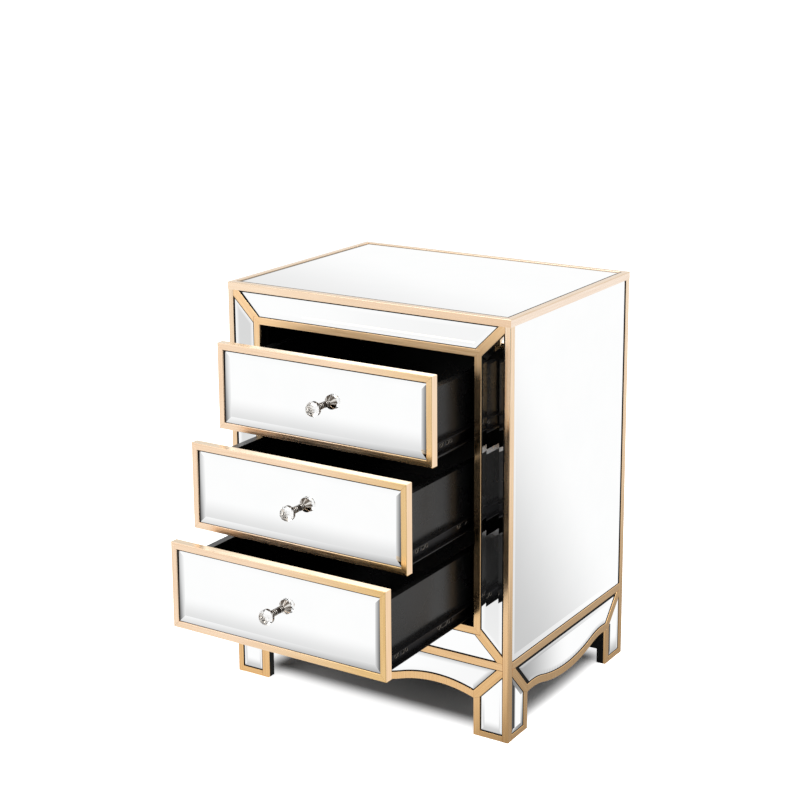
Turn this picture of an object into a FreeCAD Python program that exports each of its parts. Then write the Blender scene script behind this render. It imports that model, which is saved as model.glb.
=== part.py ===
import FreeCAD, Part
import math
import os

from FreeCAD import Placement, Rotation, Vector

# Mirrored three-drawer bedside chest, in millimetres, with its drawers drawn out by different amounts.
# +Z is up, the front looks along -Y, and the origin is on the floor under the middle of the whole object.

# Overall case
WIDTH = 500.0
DEPTH = 386.0
HEIGHT = 645.0

# Boards
BOARD = 12.0
BACK_BOARD = 4.0
BACK_RECESS = 2.0
REAR_RAIL_HEIGHT = 40.0

# Gold trim, all of it proud of the boards by one thickness
TRIM = 4.0
POST_FACE = 10.0
POST_RETURN = 12.0
TOP_BORDER_WIDTH = 10.0
TOP_BORDER_HEIGHT = 12.0
OPENING_TRIM = 11.5
WAIST_TRIM = 12.0
APRON_TRIM = 12.0
FOOT_TRIM = 11.5
FOOT_TOE = 9.5
MITRE_REACH = 9.6

# Mirror glass on the case
GLASS = 3.0
REVEAL = 0.8
BEVEL_WIDTH = 6.0
BEVEL_DEPTH = 1.0

# Drawer opening and base
SIDE_BORDER = 59.5
HEAD_BORDER = 61.5
WAIST_HEIGHT = 118.5
SILL_RISE = 54.0
FOOT_RETURN = 60.0

# Scalloped lower edges of the aprons, down from the waist: the ends at the feet, then arch, join and centre
APRON_END_DROP = 59.5
FRONT_ARCH_DROP = 49.3
FRONT_JOIN_DROP = 60.0
FRONT_CENTRE_DROP = 69.5
FRONT_JOIN_SHARE = 0.315
SIDE_ARCH_DROP = 59.1
SIDE_JOIN_DROP = 64.5
SIDE_CENTRE_DROP = 75.5
SIDE_JOIN_SHARE = 0.6

# Drawer fronts
DRAWER_NAMES = ("bottom", "middle", "top")
DRAWN = {"bottom": 230.0, "middle": 175.5, "top": 109.0}
DRAWER_TRAVEL = 260.0
FRONT_SIDE_GAP = 3.5
FRONT_GAP = 4.5
FRONT_SILL_GAP = 1.5
FRONT_THICKNESS = 14.0
FRONT_FRAME = 10.0
FRONT_GLASS = 4.0
FRONT_GLASS_RECESS = 2.0
FRONT_GLASS_REVEAL = 0.5
FRONT_BEVEL_WIDTH = 7.0
FRONT_BEVEL_DEPTH = 1.2

# Drawer boxes
BOX_LENGTH = 340.0
BOX_LIFT = 3.0
BOX_DROP = 25.0
BOX_BOARD = 12.0
BOTTOM_PANEL = 3.0
BOTTOM_LIFT = 8.0
GROOVE_DEPTH = 5.0
GROOVE_CLEARANCE = 0.1

# Ball-bearing slides
SLIDE_SPACE = 13.0
SLIDE_LENGTH = 350.0
SLIDE_SETBACK = 2.0
SLIDE_LIFT = 7.0
SLIDE_SHEET = 1.2
CHANNEL_HEIGHT = 30.0
CHANNEL_LIP_GAP = 2.0
RAIL_HEIGHT = 20.0
BALL_CLEARANCE = 0.3
BALL_COUNT = 4
CAGE_LENGTH = 180.0
CAGE_SHEET = 0.6
CAGE_CLEARANCE = 0.6
CAGE_MARGIN = 10.0

# Screws
SCREW_HEAD_RADIUS = 3.0
SCREW_HEAD = 1.2
SCREW_RADIUS = 1.6
SCREW_BITE = 10.0
SCREW_MARGIN = 1.0
SCREW_CLEARANCE = 0.1
SCREW_PLACE_SHARES = (0.1, 0.5, 0.9)
KNOB_SCREW_RADIUS = 2.0
KNOB_SCREW_HEAD_RADIUS = 4.5
KNOB_SCREW_HEAD = 2.5
KNOB_SCREW_ENGAGEMENT = 8.0

# Knob, with distances measured out from the face of the drawer's mirror
KNOB_DROP = 3.5
KNOB_FLANGE_RADIUS = 6.3
KNOB_FLANGE = 2.5
KNOB_NECK_RADIUS = 3.6
KNOB_RIB_RADIUS = 4.6
KNOB_RIB_COUNT = 3
KNOB_RIB_PITCH = 2.4
KNOB_CUP = 8.0
KNOB_CUP_RADIUS = 9.9
CRYSTAL_SIDES = 10
CRYSTAL_SEAT_RADIUS = 8.5
CRYSTAL_GIRDLE_RADIUS = 11.5
CRYSTAL_CROWN_RADIUS = 9.0
CRYSTAL_TABLE_RADIUS = 5.8
CRYSTAL_PAVILION = 5.0
CRYSTAL_GIRDLE = 1.4
CRYSTAL_CROWN = 4.6
CRYSTAL_CAP = 2.6

# Places worked out from the sizes above
HALF = WIDTH / 2
OPEN_HALF = HALF - SIDE_BORDER
OPEN_TOP = HEIGHT - HEAD_BORDER
OPEN_BOTTOM = WAIST_HEIGHT + SILL_RISE
BORDER_BOTTOM = HEIGHT - TOP_BORDER_HEIGHT
WAIST_TOP = WAIST_HEIGHT + WAIST_TRIM / 2
WAIST_BOTTOM = WAIST_HEIGHT - WAIST_TRIM / 2
APRON_END = WAIST_HEIGHT - APRON_END_DROP
SHELL = TRIM + BOARD
GLASS_RECESS = TRIM - GLASS
BACK_INSIDE = DEPTH - BACK_RECESS - BACK_BOARD

FRONT_HALF = OPEN_HALF - FRONT_SIDE_GAP
FRONT_PITCH = (OPEN_TOP - OPEN_BOTTOM - FRONT_SILL_GAP) / len(DRAWER_NAMES)
FRONT_HEIGHT = FRONT_PITCH - FRONT_GAP
BOX_HALF = FRONT_HALF - SLIDE_SPACE
RUNNER_FACE = BOX_HALF + SLIDE_SPACE

RAIL_TIP = RUNNER_FACE - SLIDE_SHEET - SCREW_HEAD - CAGE_CLEARANCE - CAGE_SHEET - CAGE_CLEARANCE
CAGE_WEB = RAIL_TIP + CAGE_CLEARANCE + CAGE_SHEET
CHANNEL_TIP = BOX_HALF + CHANNEL_LIP_GAP
BALL_GAP = CHANNEL_HEIGHT / 2 - SLIDE_SHEET - RAIL_HEIGHT / 2
BALL_RADIUS = BALL_GAP / 2 - BALL_CLEARANCE
SLIDE_FRONT = SHELL + SLIDE_SETBACK

BACK_SCREW = BACK_BOARD + SCREW_BITE
CHANNEL_SCREW = SLIDE_SHEET + BOARD - SCREW_MARGIN
RAIL_SCREW = SLIDE_SHEET + BOX_BOARD - GROOVE_DEPTH - SCREW_MARGIN

KNOB_RIBS_END = KNOB_FLANGE + KNOB_RIB_COUNT * KNOB_RIB_PITCH
KNOB_CUP_END = KNOB_RIBS_END + KNOB_CUP
CRYSTAL_DEPTH = CRYSTAL_PAVILION + CRYSTAL_GIRDLE + CRYSTAL_CROWN + CRYSTAL_CAP
KNOB_REACH = KNOB_CUP_END + CRYSTAL_DEPTH - FRONT_GLASS_RECESS
FRONT_Y = (max(DRAWN.values()) + KNOB_REACH - DEPTH) / 2


# Outlines are drawn in a (u, v) plane with w pointing out of the object, then laid on a face of the case.

def polygon(points):
    """Closed outline through (u, v) points."""
    corners = [Vector(u, v, 0) for u, v in points]
    return Part.makePolygon(corners + corners[:1])


def rectangle(u0, u1, v0, v1):
    """Closed rectangular outline."""
    return polygon([(u0, v0), (u1, v0), (u1, v1), (u0, v1)])


def slab(outline, low, high):
    """Solid over an outline between two depths."""
    solid = Part.Face(outline).extrude(Vector(0, 0, high - low))
    solid.translate(Vector(0, 0, low))
    return solid


def on_front(shape):
    """Lay a shape on the front: u runs right, v up, and w forward from the front face."""
    turn = Rotation(Vector(1, 0, 0), 90)
    shape.Placement = Placement(Vector(0, FRONT_Y, 0), turn).multiply(shape.Placement)
    return shape


def on_right(shape):
    """Lay a shape on the right side: u runs back from the front face, v up, and w right."""
    turn = Rotation(Vector(1, 1, 1), 120)
    shape.Placement = Placement(Vector(HALF, FRONT_Y, 0), turn).multiply(shape.Placement)
    return shape


def on_top(shape):
    """Lay a shape on the top: u runs right, v back from the front face, and w up."""
    shape.Placement = Placement(Vector(0, FRONT_Y, HEIGHT), Rotation()).multiply(shape.Placement)
    return shape


def both_sides(solids):
    """The solids and their mirror images across the middle of the chest."""
    return solids + [solid.mirror(Vector(0, 0, 0), Vector(1, 0, 0)) for solid in solids]


def inset(outline, distance):
    """Outline drawn in by a distance, with its corners kept sharp."""
    return outline.makeOffset2D(-distance, 2)


def raised(outline, level):
    """Copy of an outline at another depth."""
    copy = outline.copy()
    copy.translate(Vector(0, 0, level))
    return copy


def bevelled_glass(field, back, face, reveal, bevel_width, bevel_depth):
    """Mirror that fills a field but for its open joint, with a bevel around its face."""
    edge = inset(field, reveal)
    shoulder = face - bevel_depth
    bevel = Part.makeLoft([raised(edge, shoulder), raised(inset(edge, bevel_width), face)], True, True)
    return slab(edge, back, shoulder).fuse(bevel).removeSplitter()


def case_glass(field):
    """Bevelled mirror of the case, a little below the face of the trim."""
    return bevelled_glass(field, -TRIM, -GLASS_RECESS, REVEAL, BEVEL_WIDTH, BEVEL_DEPTH)


def mitred_frame(u0, u1, v0, v1, bar, low, high):
    """Four mitred bars inside a rectangle."""
    outer = [(u0, v0), (u1, v0), (u1, v1), (u0, v1)]
    inner = [(u0 + bar, v0 + bar), (u1 - bar, v0 + bar), (u1 - bar, v1 - bar), (u0 + bar, v1 - bar)]
    bars = []
    for i in range(len(outer)):
        j = (i + 1) % len(outer)
        bars.append(slab(polygon([outer[i], outer[j], inner[j], inner[i]]), low, high))
    return bars


def board(x0, x1, y0, y1, z0, z1):
    """Rectangular board, with y measured back from the front face."""
    return Part.makeBox(x1 - x0, y1 - y0, z1 - z0, Vector(x0, FRONT_Y + y0, z0))


def screw(seat, inward, length):
    """Pan-head screw with its head on a seat and its shank running inward."""
    head = Part.makeCylinder(SCREW_HEAD_RADIUS, SCREW_HEAD, seat, inward * -1)
    return head.fuse(Part.makeCylinder(SCREW_RADIUS, length, seat, inward))


def drilled(solid, seats, inward, length):
    """Solid with a clearance hole for the shank of each screw."""
    for seat in seats:
        hole = Part.makeCylinder(SCREW_RADIUS + SCREW_CLEARANCE, length, seat, inward)
        solid = solid.cut(hole)
    return solid


# Boards of the case

def side_boards():
    """Outer side boards between the corner posts, above the base."""
    return both_sides([board(HALF - SHELL, HALF - TRIM, SHELL, DEPTH - SHELL, WAIST_HEIGHT, BORDER_BOTTOM)])


def top_board():
    """Board under the top mirror, inside the border."""
    half = HALF - TOP_BORDER_WIDTH
    top = HEIGHT - TRIM
    return [board(-half, half, TOP_BORDER_WIDTH, DEPTH - TOP_BORDER_WIDTH, BORDER_BOTTOM, top)]


def bottom_board():
    """Board under the lowest drawer."""
    half = HALF - SHELL
    return [board(-half, half, SHELL, BACK_INSIDE, OPEN_BOTTOM - BOARD, OPEN_BOTTOM)]


def back_board_seats():
    """Seats of the back board's screws, on its outer face behind the runner panels."""
    back = FRONT_Y + BACK_INSIDE + BACK_BOARD
    span = BORDER_BOTTOM - OPEN_BOTTOM
    column = RUNNER_FACE + BOARD / 2
    return [Vector(side * column, back, OPEN_BOTTOM + share * span)
            for side in (-1, 1) for share in SCREW_PLACE_SHARES]


def back_board():
    """Thin back, recessed between the rear posts."""
    half = HALF - SHELL
    panel = board(-half, half, BACK_INSIDE, BACK_INSIDE + BACK_BOARD, WAIST_HEIGHT, BORDER_BOTTOM)
    return [drilled(panel, back_board_seats(), Vector(0, -1, 0), BACK_SCREW)]


def back_board_screws():
    """Screws through the back into the runner panels."""
    return [screw(seat, Vector(0, -1, 0), BACK_SCREW) for seat in back_board_seats()]


def runner_panels():
    """Inner panels, level with the opening, that carry the fixed slide channels."""
    panels = []
    for side in (-1, 1):
        near, far = sorted((side * RUNNER_FACE, side * (RUNNER_FACE + BOARD)))
        panel = board(near, far, SHELL, BACK_INSIDE, OPEN_BOTTOM, BORDER_BOTTOM)
        panel = drilled(panel, channel_seats(side), Vector(side, 0, 0), CHANNEL_SCREW)
        panels.append(drilled(panel, back_board_seats(), Vector(0, -1, 0), BACK_SCREW))
    return panels


def face_frame_boards():
    """Stiles, head and sill behind the mirrors of the face."""
    stile = board(OPEN_HALF, HALF - SHELL, TRIM, SHELL, WAIST_HEIGHT, BORDER_BOTTOM)
    head = board(-OPEN_HALF, OPEN_HALF, TRIM, SHELL, OPEN_TOP, BORDER_BOTTOM)
    sill = board(-OPEN_HALF, OPEN_HALF, TRIM, SHELL, WAIST_HEIGHT, OPEN_BOTTOM)
    return both_sides([stile]) + [head, sill]


def corner_posts():
    """Full-height posts, rebated for the boards and mirrors beside them."""
    front = [
        (HALF, 0), (HALF, POST_RETURN), (HALF - TRIM, POST_RETURN), (HALF - TRIM, SHELL),
        (HALF - SHELL, SHELL), (HALF - SHELL, TRIM), (HALF - POST_FACE, TRIM), (HALF - POST_FACE, 0),
    ]
    rear = [
        (HALF, DEPTH), (HALF, DEPTH - POST_RETURN), (HALF - TRIM, DEPTH - POST_RETURN),
        (HALF - TRIM, DEPTH - SHELL), (HALF - SHELL, DEPTH - SHELL), (HALF - SHELL, DEPTH),
    ]
    posts = [on_top(slab(polygon(section), -HEIGHT, -TOP_BORDER_HEIGHT)) for section in (front, rear)]
    return both_sides(posts)


# Base: apron, feet and rear rail

def scallop(centre, half_span, arch_drop, join_drop, centre_drop, join_share, lift):
    """Three arcs of an apron's lower edge, raised by a lift, with the middle one hanging lowest."""
    outer = half_span
    inner = half_span * join_share
    middle = (outer + inner) / 2
    drops = [(-outer, APRON_END_DROP), (-middle, arch_drop), (-inner, join_drop), (0, centre_drop),
             (inner, join_drop), (middle, arch_drop), (outer, APRON_END_DROP)]
    corners = [Vector(centre + u, WAIST_HEIGHT - drop + lift, 0) for u, drop in drops]
    return [Part.Arc(*corners[i:i + 3]).toShape() for i in range(0, len(corners) - 1, 2)]


def front_scallop(lift):
    """Lower edge of the front apron."""
    drops = (FRONT_ARCH_DROP, FRONT_JOIN_DROP, FRONT_CENTRE_DROP)
    return scallop(0, OPEN_HALF, *drops, FRONT_JOIN_SHARE, lift)


def side_scallop(lift):
    """Lower edge of a side apron."""
    half_span = DEPTH / 2 - FOOT_RETURN
    drops = (SIDE_ARCH_DROP, SIDE_JOIN_DROP, SIDE_CENTRE_DROP)
    return scallop(DEPTH / 2, half_span, *drops, SIDE_JOIN_SHARE, lift)


def over_scallop(edges, points):
    """Closed outline of a scalloped edge, left to right, and the points back over it."""
    path = [edges[-1].Vertexes[-1].Point] + [Vector(u, v, 0) for u, v in points]
    path.append(edges[0].Vertexes[0].Point)
    return Part.Wire(edges + [Part.makeLine(path[i], path[i + 1]) for i in range(len(path) - 1)])


def between_scallops(lower, upper):
    """Closed outline of the band between two scalloped edges."""
    ends = [Part.makeLine(lower[i].Vertexes[i].Point, upper[i].Vertexes[i].Point) for i in (0, -1)]
    return Part.Wire(Part.__sortEdges__(lower + upper + ends))


def apron_board_front():
    """Front apron board between the feet."""
    outline = over_scallop(front_scallop(0), [(OPEN_HALF, WAIST_HEIGHT), (-OPEN_HALF, WAIST_HEIGHT)])
    return [on_front(slab(outline, -SHELL, -TRIM))]


def apron_boards_side():
    """Side apron boards between the feet."""
    ends = [(DEPTH - FOOT_RETURN, WAIST_HEIGHT), (FOOT_RETURN, WAIST_HEIGHT)]
    return both_sides([on_right(slab(over_scallop(side_scallop(0), ends), -SHELL, -TRIM))])


def foot_boards():
    """Two boards at right angles behind each corner post."""
    return both_sides([
        board(OPEN_HALF, HALF - SHELL, TRIM, SHELL, 0, WAIST_HEIGHT),
        board(HALF - SHELL, HALF - TRIM, SHELL, FOOT_RETURN, 0, WAIST_HEIGHT),
        board(HALF - SHELL, HALF - TRIM, DEPTH - FOOT_RETURN, DEPTH - SHELL, 0, WAIST_HEIGHT),
        board(OPEN_HALF, HALF - SHELL, DEPTH - BOARD, DEPTH, 0, WAIST_HEIGHT),
    ])


def rear_rail():
    """Rail between the rear feet."""
    low = WAIST_HEIGHT - REAR_RAIL_HEIGHT
    return [board(-OPEN_HALF, OPEN_HALF, DEPTH - BOARD, DEPTH, low, WAIST_HEIGHT)]


# Outlines shared by the trim and the mirrors of the face

POST_EDGE = HALF - POST_FACE
TRIM_EDGE = OPEN_HALF + OPENING_TRIM
TRIM_TOP = OPEN_TOP + OPENING_TRIM
TRIM_BOTTOM = OPEN_BOTTOM - OPENING_TRIM


def face_mitre(outer_v, inner_v):
    """Diagonal bar from a corner of the face to the corner of the opening's trim."""
    reach = math.copysign(MITRE_REACH, outer_v - inner_v)
    return polygon([
        (POST_EDGE, outer_v), (POST_EDGE, outer_v - reach), (TRIM_EDGE, inner_v - reach),
        (TRIM_EDGE, inner_v), (TRIM_EDGE - MITRE_REACH, inner_v), (POST_EDGE - MITRE_REACH, outer_v),
    ])


def fascia_field(outer_v, inner_v):
    """Trapezium between two diagonal bars, above or below the opening."""
    outer = POST_EDGE - MITRE_REACH
    inner = TRIM_EDGE - MITRE_REACH
    return polygon([(-outer, outer_v), (outer, outer_v), (inner, inner_v), (-inner, inner_v)])


def stile_field():
    """Upright field between two diagonal bars, beside the opening."""
    return polygon([
        (TRIM_EDGE, TRIM_BOTTOM + MITRE_REACH), (POST_EDGE, WAIST_TOP + MITRE_REACH),
        (POST_EDGE, BORDER_BOTTOM - MITRE_REACH), (TRIM_EDGE, TRIM_TOP - MITRE_REACH),
    ])


class FootFace:
    """Trim and mirror outlines of one face of a foot, measured from its free edge to its post."""

    def __init__(self, free_edge, toward_post, reach):
        self.free_edge = free_edge
        self.toward_post = toward_post
        self.reach = reach
        apron_top = APRON_END + APRON_TRIM
        slope = (WAIST_BOTTOM - apron_top) / (reach - MITRE_REACH)
        self.mitre_low = WAIST_BOTTOM - MITRE_REACH - slope * (reach - FOOT_TRIM)

    def outline(self, points):
        """Closed outline of points given as distances from the free edge and heights."""
        return polygon([(self.free_edge + self.toward_post * t, v) for t, v in points])

    def strips(self):
        """Upright strip at the free edge and toe strip at the floor."""
        upright = [(0, 0), (FOOT_TRIM, 0), (FOOT_TRIM, self.mitre_low), (0, APRON_END)]
        toe = [(FOOT_TRIM, 0), (self.reach, 0), (self.reach, FOOT_TOE), (FOOT_TRIM, FOOT_TOE)]
        return [self.outline(upright), self.outline(toe)]

    def mitre(self):
        """Diagonal bar from the post under the waist to the end of the apron's trim."""
        return self.outline([
            (0, APRON_END), (FOOT_TRIM, self.mitre_low),
            (self.reach, WAIST_BOTTOM - MITRE_REACH), (self.reach, WAIST_BOTTOM),
            (self.reach - MITRE_REACH, WAIST_BOTTOM), (0, APRON_END + APRON_TRIM),
        ])

    def field(self):
        """Field of the foot's mirror."""
        return self.outline([
            (FOOT_TRIM, FOOT_TOE), (self.reach, FOOT_TOE),
            (self.reach, WAIST_BOTTOM - MITRE_REACH), (FOOT_TRIM, self.mitre_low),
        ])


FRONT_FOOT = FootFace(OPEN_HALF, 1, POST_EDGE - OPEN_HALF)
SIDE_FOOT_REACH = FOOT_RETURN - POST_RETURN
SIDE_FEET = (FootFace(FOOT_RETURN, -1, SIDE_FOOT_REACH), FootFace(DEPTH - FOOT_RETURN, 1, SIDE_FOOT_REACH))


# Gold trim

def strip(outline):
    """Strip of trim over an outline."""
    return slab(outline, -TRIM, 0)


def top_border():
    """Mitred border round the top mirror."""
    bars = mitred_frame(-HALF, HALF, 0, DEPTH, TOP_BORDER_WIDTH, -TOP_BORDER_HEIGHT, 0)
    return [on_top(bar) for bar in bars]


def opening_trim():
    """Mitred trim round the drawer opening."""
    bars = mitred_frame(-TRIM_EDGE, TRIM_EDGE, TRIM_BOTTOM, TRIM_TOP, OPENING_TRIM, -TRIM, 0)
    return [on_front(bar) for bar in bars]


def mitre_trim():
    """Diagonal bars of the face and of the feet."""
    front = [face_mitre(BORDER_BOTTOM, TRIM_TOP), face_mitre(WAIST_TOP, TRIM_BOTTOM), FRONT_FOOT.mitre()]
    side = [foot.mitre() for foot in SIDE_FEET]
    return both_sides([on_front(strip(bar)) for bar in front] + [on_right(strip(bar)) for bar in side])


def waist_trim():
    """Rails round the waist, over the joint of case and base."""
    front = on_front(strip(rectangle(-POST_EDGE, POST_EDGE, WAIST_BOTTOM, WAIST_TOP)))
    side = on_right(strip(rectangle(POST_RETURN, DEPTH - POST_RETURN, WAIST_BOTTOM, WAIST_TOP)))
    return [front] + both_sides([side])


def apron_trim():
    """Curved strips along the lower edges of the aprons."""
    front = on_front(strip(between_scallops(front_scallop(0), front_scallop(APRON_TRIM))))
    side = on_right(strip(between_scallops(side_scallop(0), side_scallop(APRON_TRIM))))
    return [front] + both_sides([side])


def foot_trim():
    """Upright and toe strips of the feet."""
    front = [on_front(strip(outline)) for outline in FRONT_FOOT.strips()]
    side = [on_right(strip(outline)) for foot in SIDE_FEET for outline in foot.strips()]
    return both_sides(front + side)


# Mirrors of the case

def top_mirror():
    """Mirror inside the border of the top."""
    half = HALF - TOP_BORDER_WIDTH
    return [on_top(case_glass(rectangle(-half, half, TOP_BORDER_WIDTH, DEPTH - TOP_BORDER_WIDTH)))]


def side_mirrors():
    """Large mirrors of the sides."""
    field = rectangle(POST_RETURN, DEPTH - POST_RETURN, WAIST_TOP, BORDER_BOTTOM)
    return both_sides([on_right(case_glass(field))])


def fascia_mirrors():
    """Mirrors above and below the opening."""
    fields = (fascia_field(BORDER_BOTTOM, TRIM_TOP), fascia_field(WAIST_TOP, TRIM_BOTTOM))
    return [on_front(case_glass(field)) for field in fields]


def stile_mirrors():
    """Mirrors beside the opening."""
    return both_sides([on_front(case_glass(stile_field()))])


def apron_mirror_front():
    """Mirror of the front apron."""
    corner = POST_EDGE - MITRE_REACH
    outline = over_scallop(front_scallop(APRON_TRIM), [(corner, WAIST_BOTTOM), (-corner, WAIST_BOTTOM)])
    return [on_front(case_glass(outline))]


def apron_mirrors_side():
    """Mirrors of the side aprons."""
    corner = POST_RETURN + MITRE_REACH
    ends = [(DEPTH - corner, WAIST_BOTTOM), (corner, WAIST_BOTTOM)]
    return both_sides([on_right(case_glass(over_scallop(side_scallop(APRON_TRIM), ends)))])


def foot_mirrors():
    """Mirrors of the feet."""
    front = [on_front(case_glass(FRONT_FOOT.field()))]
    return both_sides(front + [on_right(case_glass(foot.field())) for foot in SIDE_FEET])


# Slides

def front_level(name):
    """Height of the lower edge of a drawer's front."""
    return OPEN_BOTTOM + FRONT_SILL_GAP + DRAWER_NAMES.index(name) * FRONT_PITCH


def slide_level(name):
    """Height of the middle of a drawer's slides."""
    return front_level(name) + BOX_LIFT + SLIDE_LIFT + RAIL_HEIGHT / 2


def c_section(web, tip, sheet, middle, tall):
    """C-shaped section with its back at web and its lips reaching to tip."""
    inside = web + math.copysign(sheet, tip - web)
    low = middle - tall / 2
    high = middle + tall / 2
    return polygon([(web, low), (tip, low), (tip, low + sheet), (inside, low + sheet),
                    (inside, high - sheet), (tip, high - sheet), (tip, high), (web, high)])


def screw_places():
    """Places of a slide's screws, back from the front face."""
    return [SLIDE_FRONT + share * SLIDE_LENGTH for share in SCREW_PLACE_SHARES]


def channel_seats(side):
    """Seats of the screws in the fixed channels on one side."""
    web = side * (RUNNER_FACE - SLIDE_SHEET)
    return [Vector(web, FRONT_Y + place, slide_level(name))
            for name in DRAWER_NAMES for place in screw_places()]


def slide_channels():
    """Fixed outer members of the slides."""
    channels = []
    for side in (-1, 1):
        for name in DRAWER_NAMES:
            section = c_section(side * RUNNER_FACE, side * CHANNEL_TIP, SLIDE_SHEET, slide_level(name),
                                CHANNEL_HEIGHT)
            channel = on_front(slab(section, -SLIDE_FRONT - SLIDE_LENGTH, -SLIDE_FRONT))
            channels.append(drilled(channel, channel_seats(side), Vector(side, 0, 0), CHANNEL_SCREW))
    return channels


def slide_screws():
    """Screws that hold the fixed channels to the runner panels."""
    return [screw(seat, Vector(side, 0, 0), CHANNEL_SCREW)
            for side in (-1, 1) for seat in channel_seats(side)]


def ball_cages(name):
    """Cages and balls between channel and rail, moved out half as far as the drawer."""
    middle = slide_level(name)
    start = SLIDE_FRONT + CAGE_MARGIN + (DRAWER_TRAVEL - DRAWN[name]) / 2
    race = RAIL_HEIGHT / 2 + BALL_GAP / 2
    column = (CHANNEL_TIP + RAIL_TIP) / 2
    step = CAGE_LENGTH / BALL_COUNT
    places = [start + step / 2 + i * step for i in range(BALL_COUNT)]
    solids = []
    for side in (-1, 1):
        section = c_section(side * CAGE_WEB, side * (CHANNEL_TIP + CAGE_CLEARANCE), CAGE_SHEET, middle,
                            2 * race + CAGE_SHEET)
        cage = on_front(slab(section, -start - CAGE_LENGTH, -start))
        for place in places:
            for above in (-1, 1):
                centre = Vector(side * column, FRONT_Y + place, middle + above * race)
                foot = centre - Vector(0, 0, BALL_GAP / 2)
                cage = cage.cut(Part.makeCylinder(BALL_RADIUS + BALL_CLEARANCE / 2, BALL_GAP, foot))
                solids.append(Part.makeSphere(BALL_RADIUS, centre))
        solids.append(cage)
    return solids


# Drawers, made shut and then drawn out

def rail_seats(name, side):
    """Seats of the screws in a drawer's rail on one side."""
    web = side * (BOX_HALF + SLIDE_SHEET)
    return [Vector(web, FRONT_Y + place, slide_level(name)) for place in screw_places()]


def knob_axis(name):
    """Point on the face of the front where the knob's axis passes."""
    return Vector(0, FRONT_Y, front_level(name) + FRONT_HEIGHT / 2 - KNOB_DROP)


def knob_bored(solid, name):
    """Solid with the clearance hole of the knob's screw."""
    radius = KNOB_SCREW_RADIUS + SCREW_CLEARANCE
    return solid.cut(Part.makeCylinder(radius, FRONT_THICKNESS, knob_axis(name), Vector(0, 1, 0)))


def front_frame(name):
    """Mitred gold frame of a drawer front."""
    low = front_level(name)
    bars = mitred_frame(-FRONT_HALF, FRONT_HALF, low, low + FRONT_HEIGHT, FRONT_FRAME, -FRONT_THICKNESS, 0)
    return [on_front(bar) for bar in bars]


def front_field(name):
    """Field inside a drawer's frame."""
    low = front_level(name) + FRONT_FRAME
    half = FRONT_HALF - FRONT_FRAME
    return rectangle(-half, half, low, low + FRONT_HEIGHT - 2 * FRONT_FRAME)


def front_mirror(name):
    """Bevelled mirror of a drawer front, drilled for the knob."""
    face = -FRONT_GLASS_RECESS
    glass = bevelled_glass(front_field(name), face - FRONT_GLASS, face, FRONT_GLASS_REVEAL,
                           FRONT_BEVEL_WIDTH, FRONT_BEVEL_DEPTH)
    return [knob_bored(on_front(glass), name)]


def front_board(name):
    """Board inside the frame that backs the mirror."""
    panel = slab(front_field(name), -FRONT_THICKNESS, -FRONT_GLASS_RECESS - FRONT_GLASS)
    return [knob_bored(on_front(panel), name)]


def box_bottom(name):
    """Height of the lower edge of a drawer's box."""
    return front_level(name) + BOX_LIFT


def box_top(name):
    """Height of the upper edge of a drawer's box."""
    return front_level(name) + FRONT_HEIGHT - BOX_DROP


def panel_level(name):
    """Height of the lower face of a drawer's bottom panel."""
    return box_bottom(name) + BOTTOM_LIFT


BOX_START = FRONT_THICKNESS
BOX_END = FRONT_THICKNESS + BOX_LENGTH
BOX_INSIDE = BOX_HALF - BOX_BOARD


def box_sides(name):
    """Sides of a drawer's box, grooved for the bottom and drilled for the rails."""
    groove_low = panel_level(name) - GROOVE_CLEARANCE
    groove_high = panel_level(name) + BOTTOM_PANEL + GROOVE_CLEARANCE
    sides = []
    for side in (-1, 1):
        near, far = sorted((side * BOX_INSIDE, side * BOX_HALF))
        root, mouth = sorted((side * (BOX_INSIDE + GROOVE_DEPTH), side * BOX_INSIDE))
        panel = board(near, far, BOX_START, BOX_END, box_bottom(name), box_top(name))
        panel = panel.cut(board(root, mouth, BOX_START, BOX_END, groove_low, groove_high))
        sides.append(drilled(panel, rail_seats(name, side), Vector(-side, 0, 0), RAIL_SCREW))
    return sides


def box_back(name):
    """Back of a drawer's box, standing on the bottom panel."""
    low = panel_level(name) + BOTTOM_PANEL
    return [board(-BOX_INSIDE, BOX_INSIDE, BOX_END - BOX_BOARD, BOX_END, low, box_top(name))]


def box_panel(name):
    """Bottom panel of a drawer's box, held in the grooves of the sides."""
    half = BOX_INSIDE + GROOVE_DEPTH - GROOVE_CLEARANCE
    low = panel_level(name)
    return [board(-half, half, BOX_START, BOX_END, low, low + BOTTOM_PANEL)]


def slide_rails(name):
    """Inner members of the slides, on the sides of the box."""
    rails = []
    for side in (-1, 1):
        section = c_section(side * BOX_HALF, side * RAIL_TIP, SLIDE_SHEET, slide_level(name), RAIL_HEIGHT)
        rail = on_front(slab(section, -SLIDE_FRONT - SLIDE_LENGTH, -SLIDE_FRONT))
        rails.append(drilled(rail, rail_seats(name, side), Vector(-side, 0, 0), RAIL_SCREW))
    return rails


def turned_out(shape, name):
    """Lay a shape turned about w on a drawer's knob axis, out from the face of its mirror."""
    axis = knob_axis(name)
    shape.translate(Vector(axis.x, axis.z, -FRONT_GLASS_RECESS))
    return on_front(shape)


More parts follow.
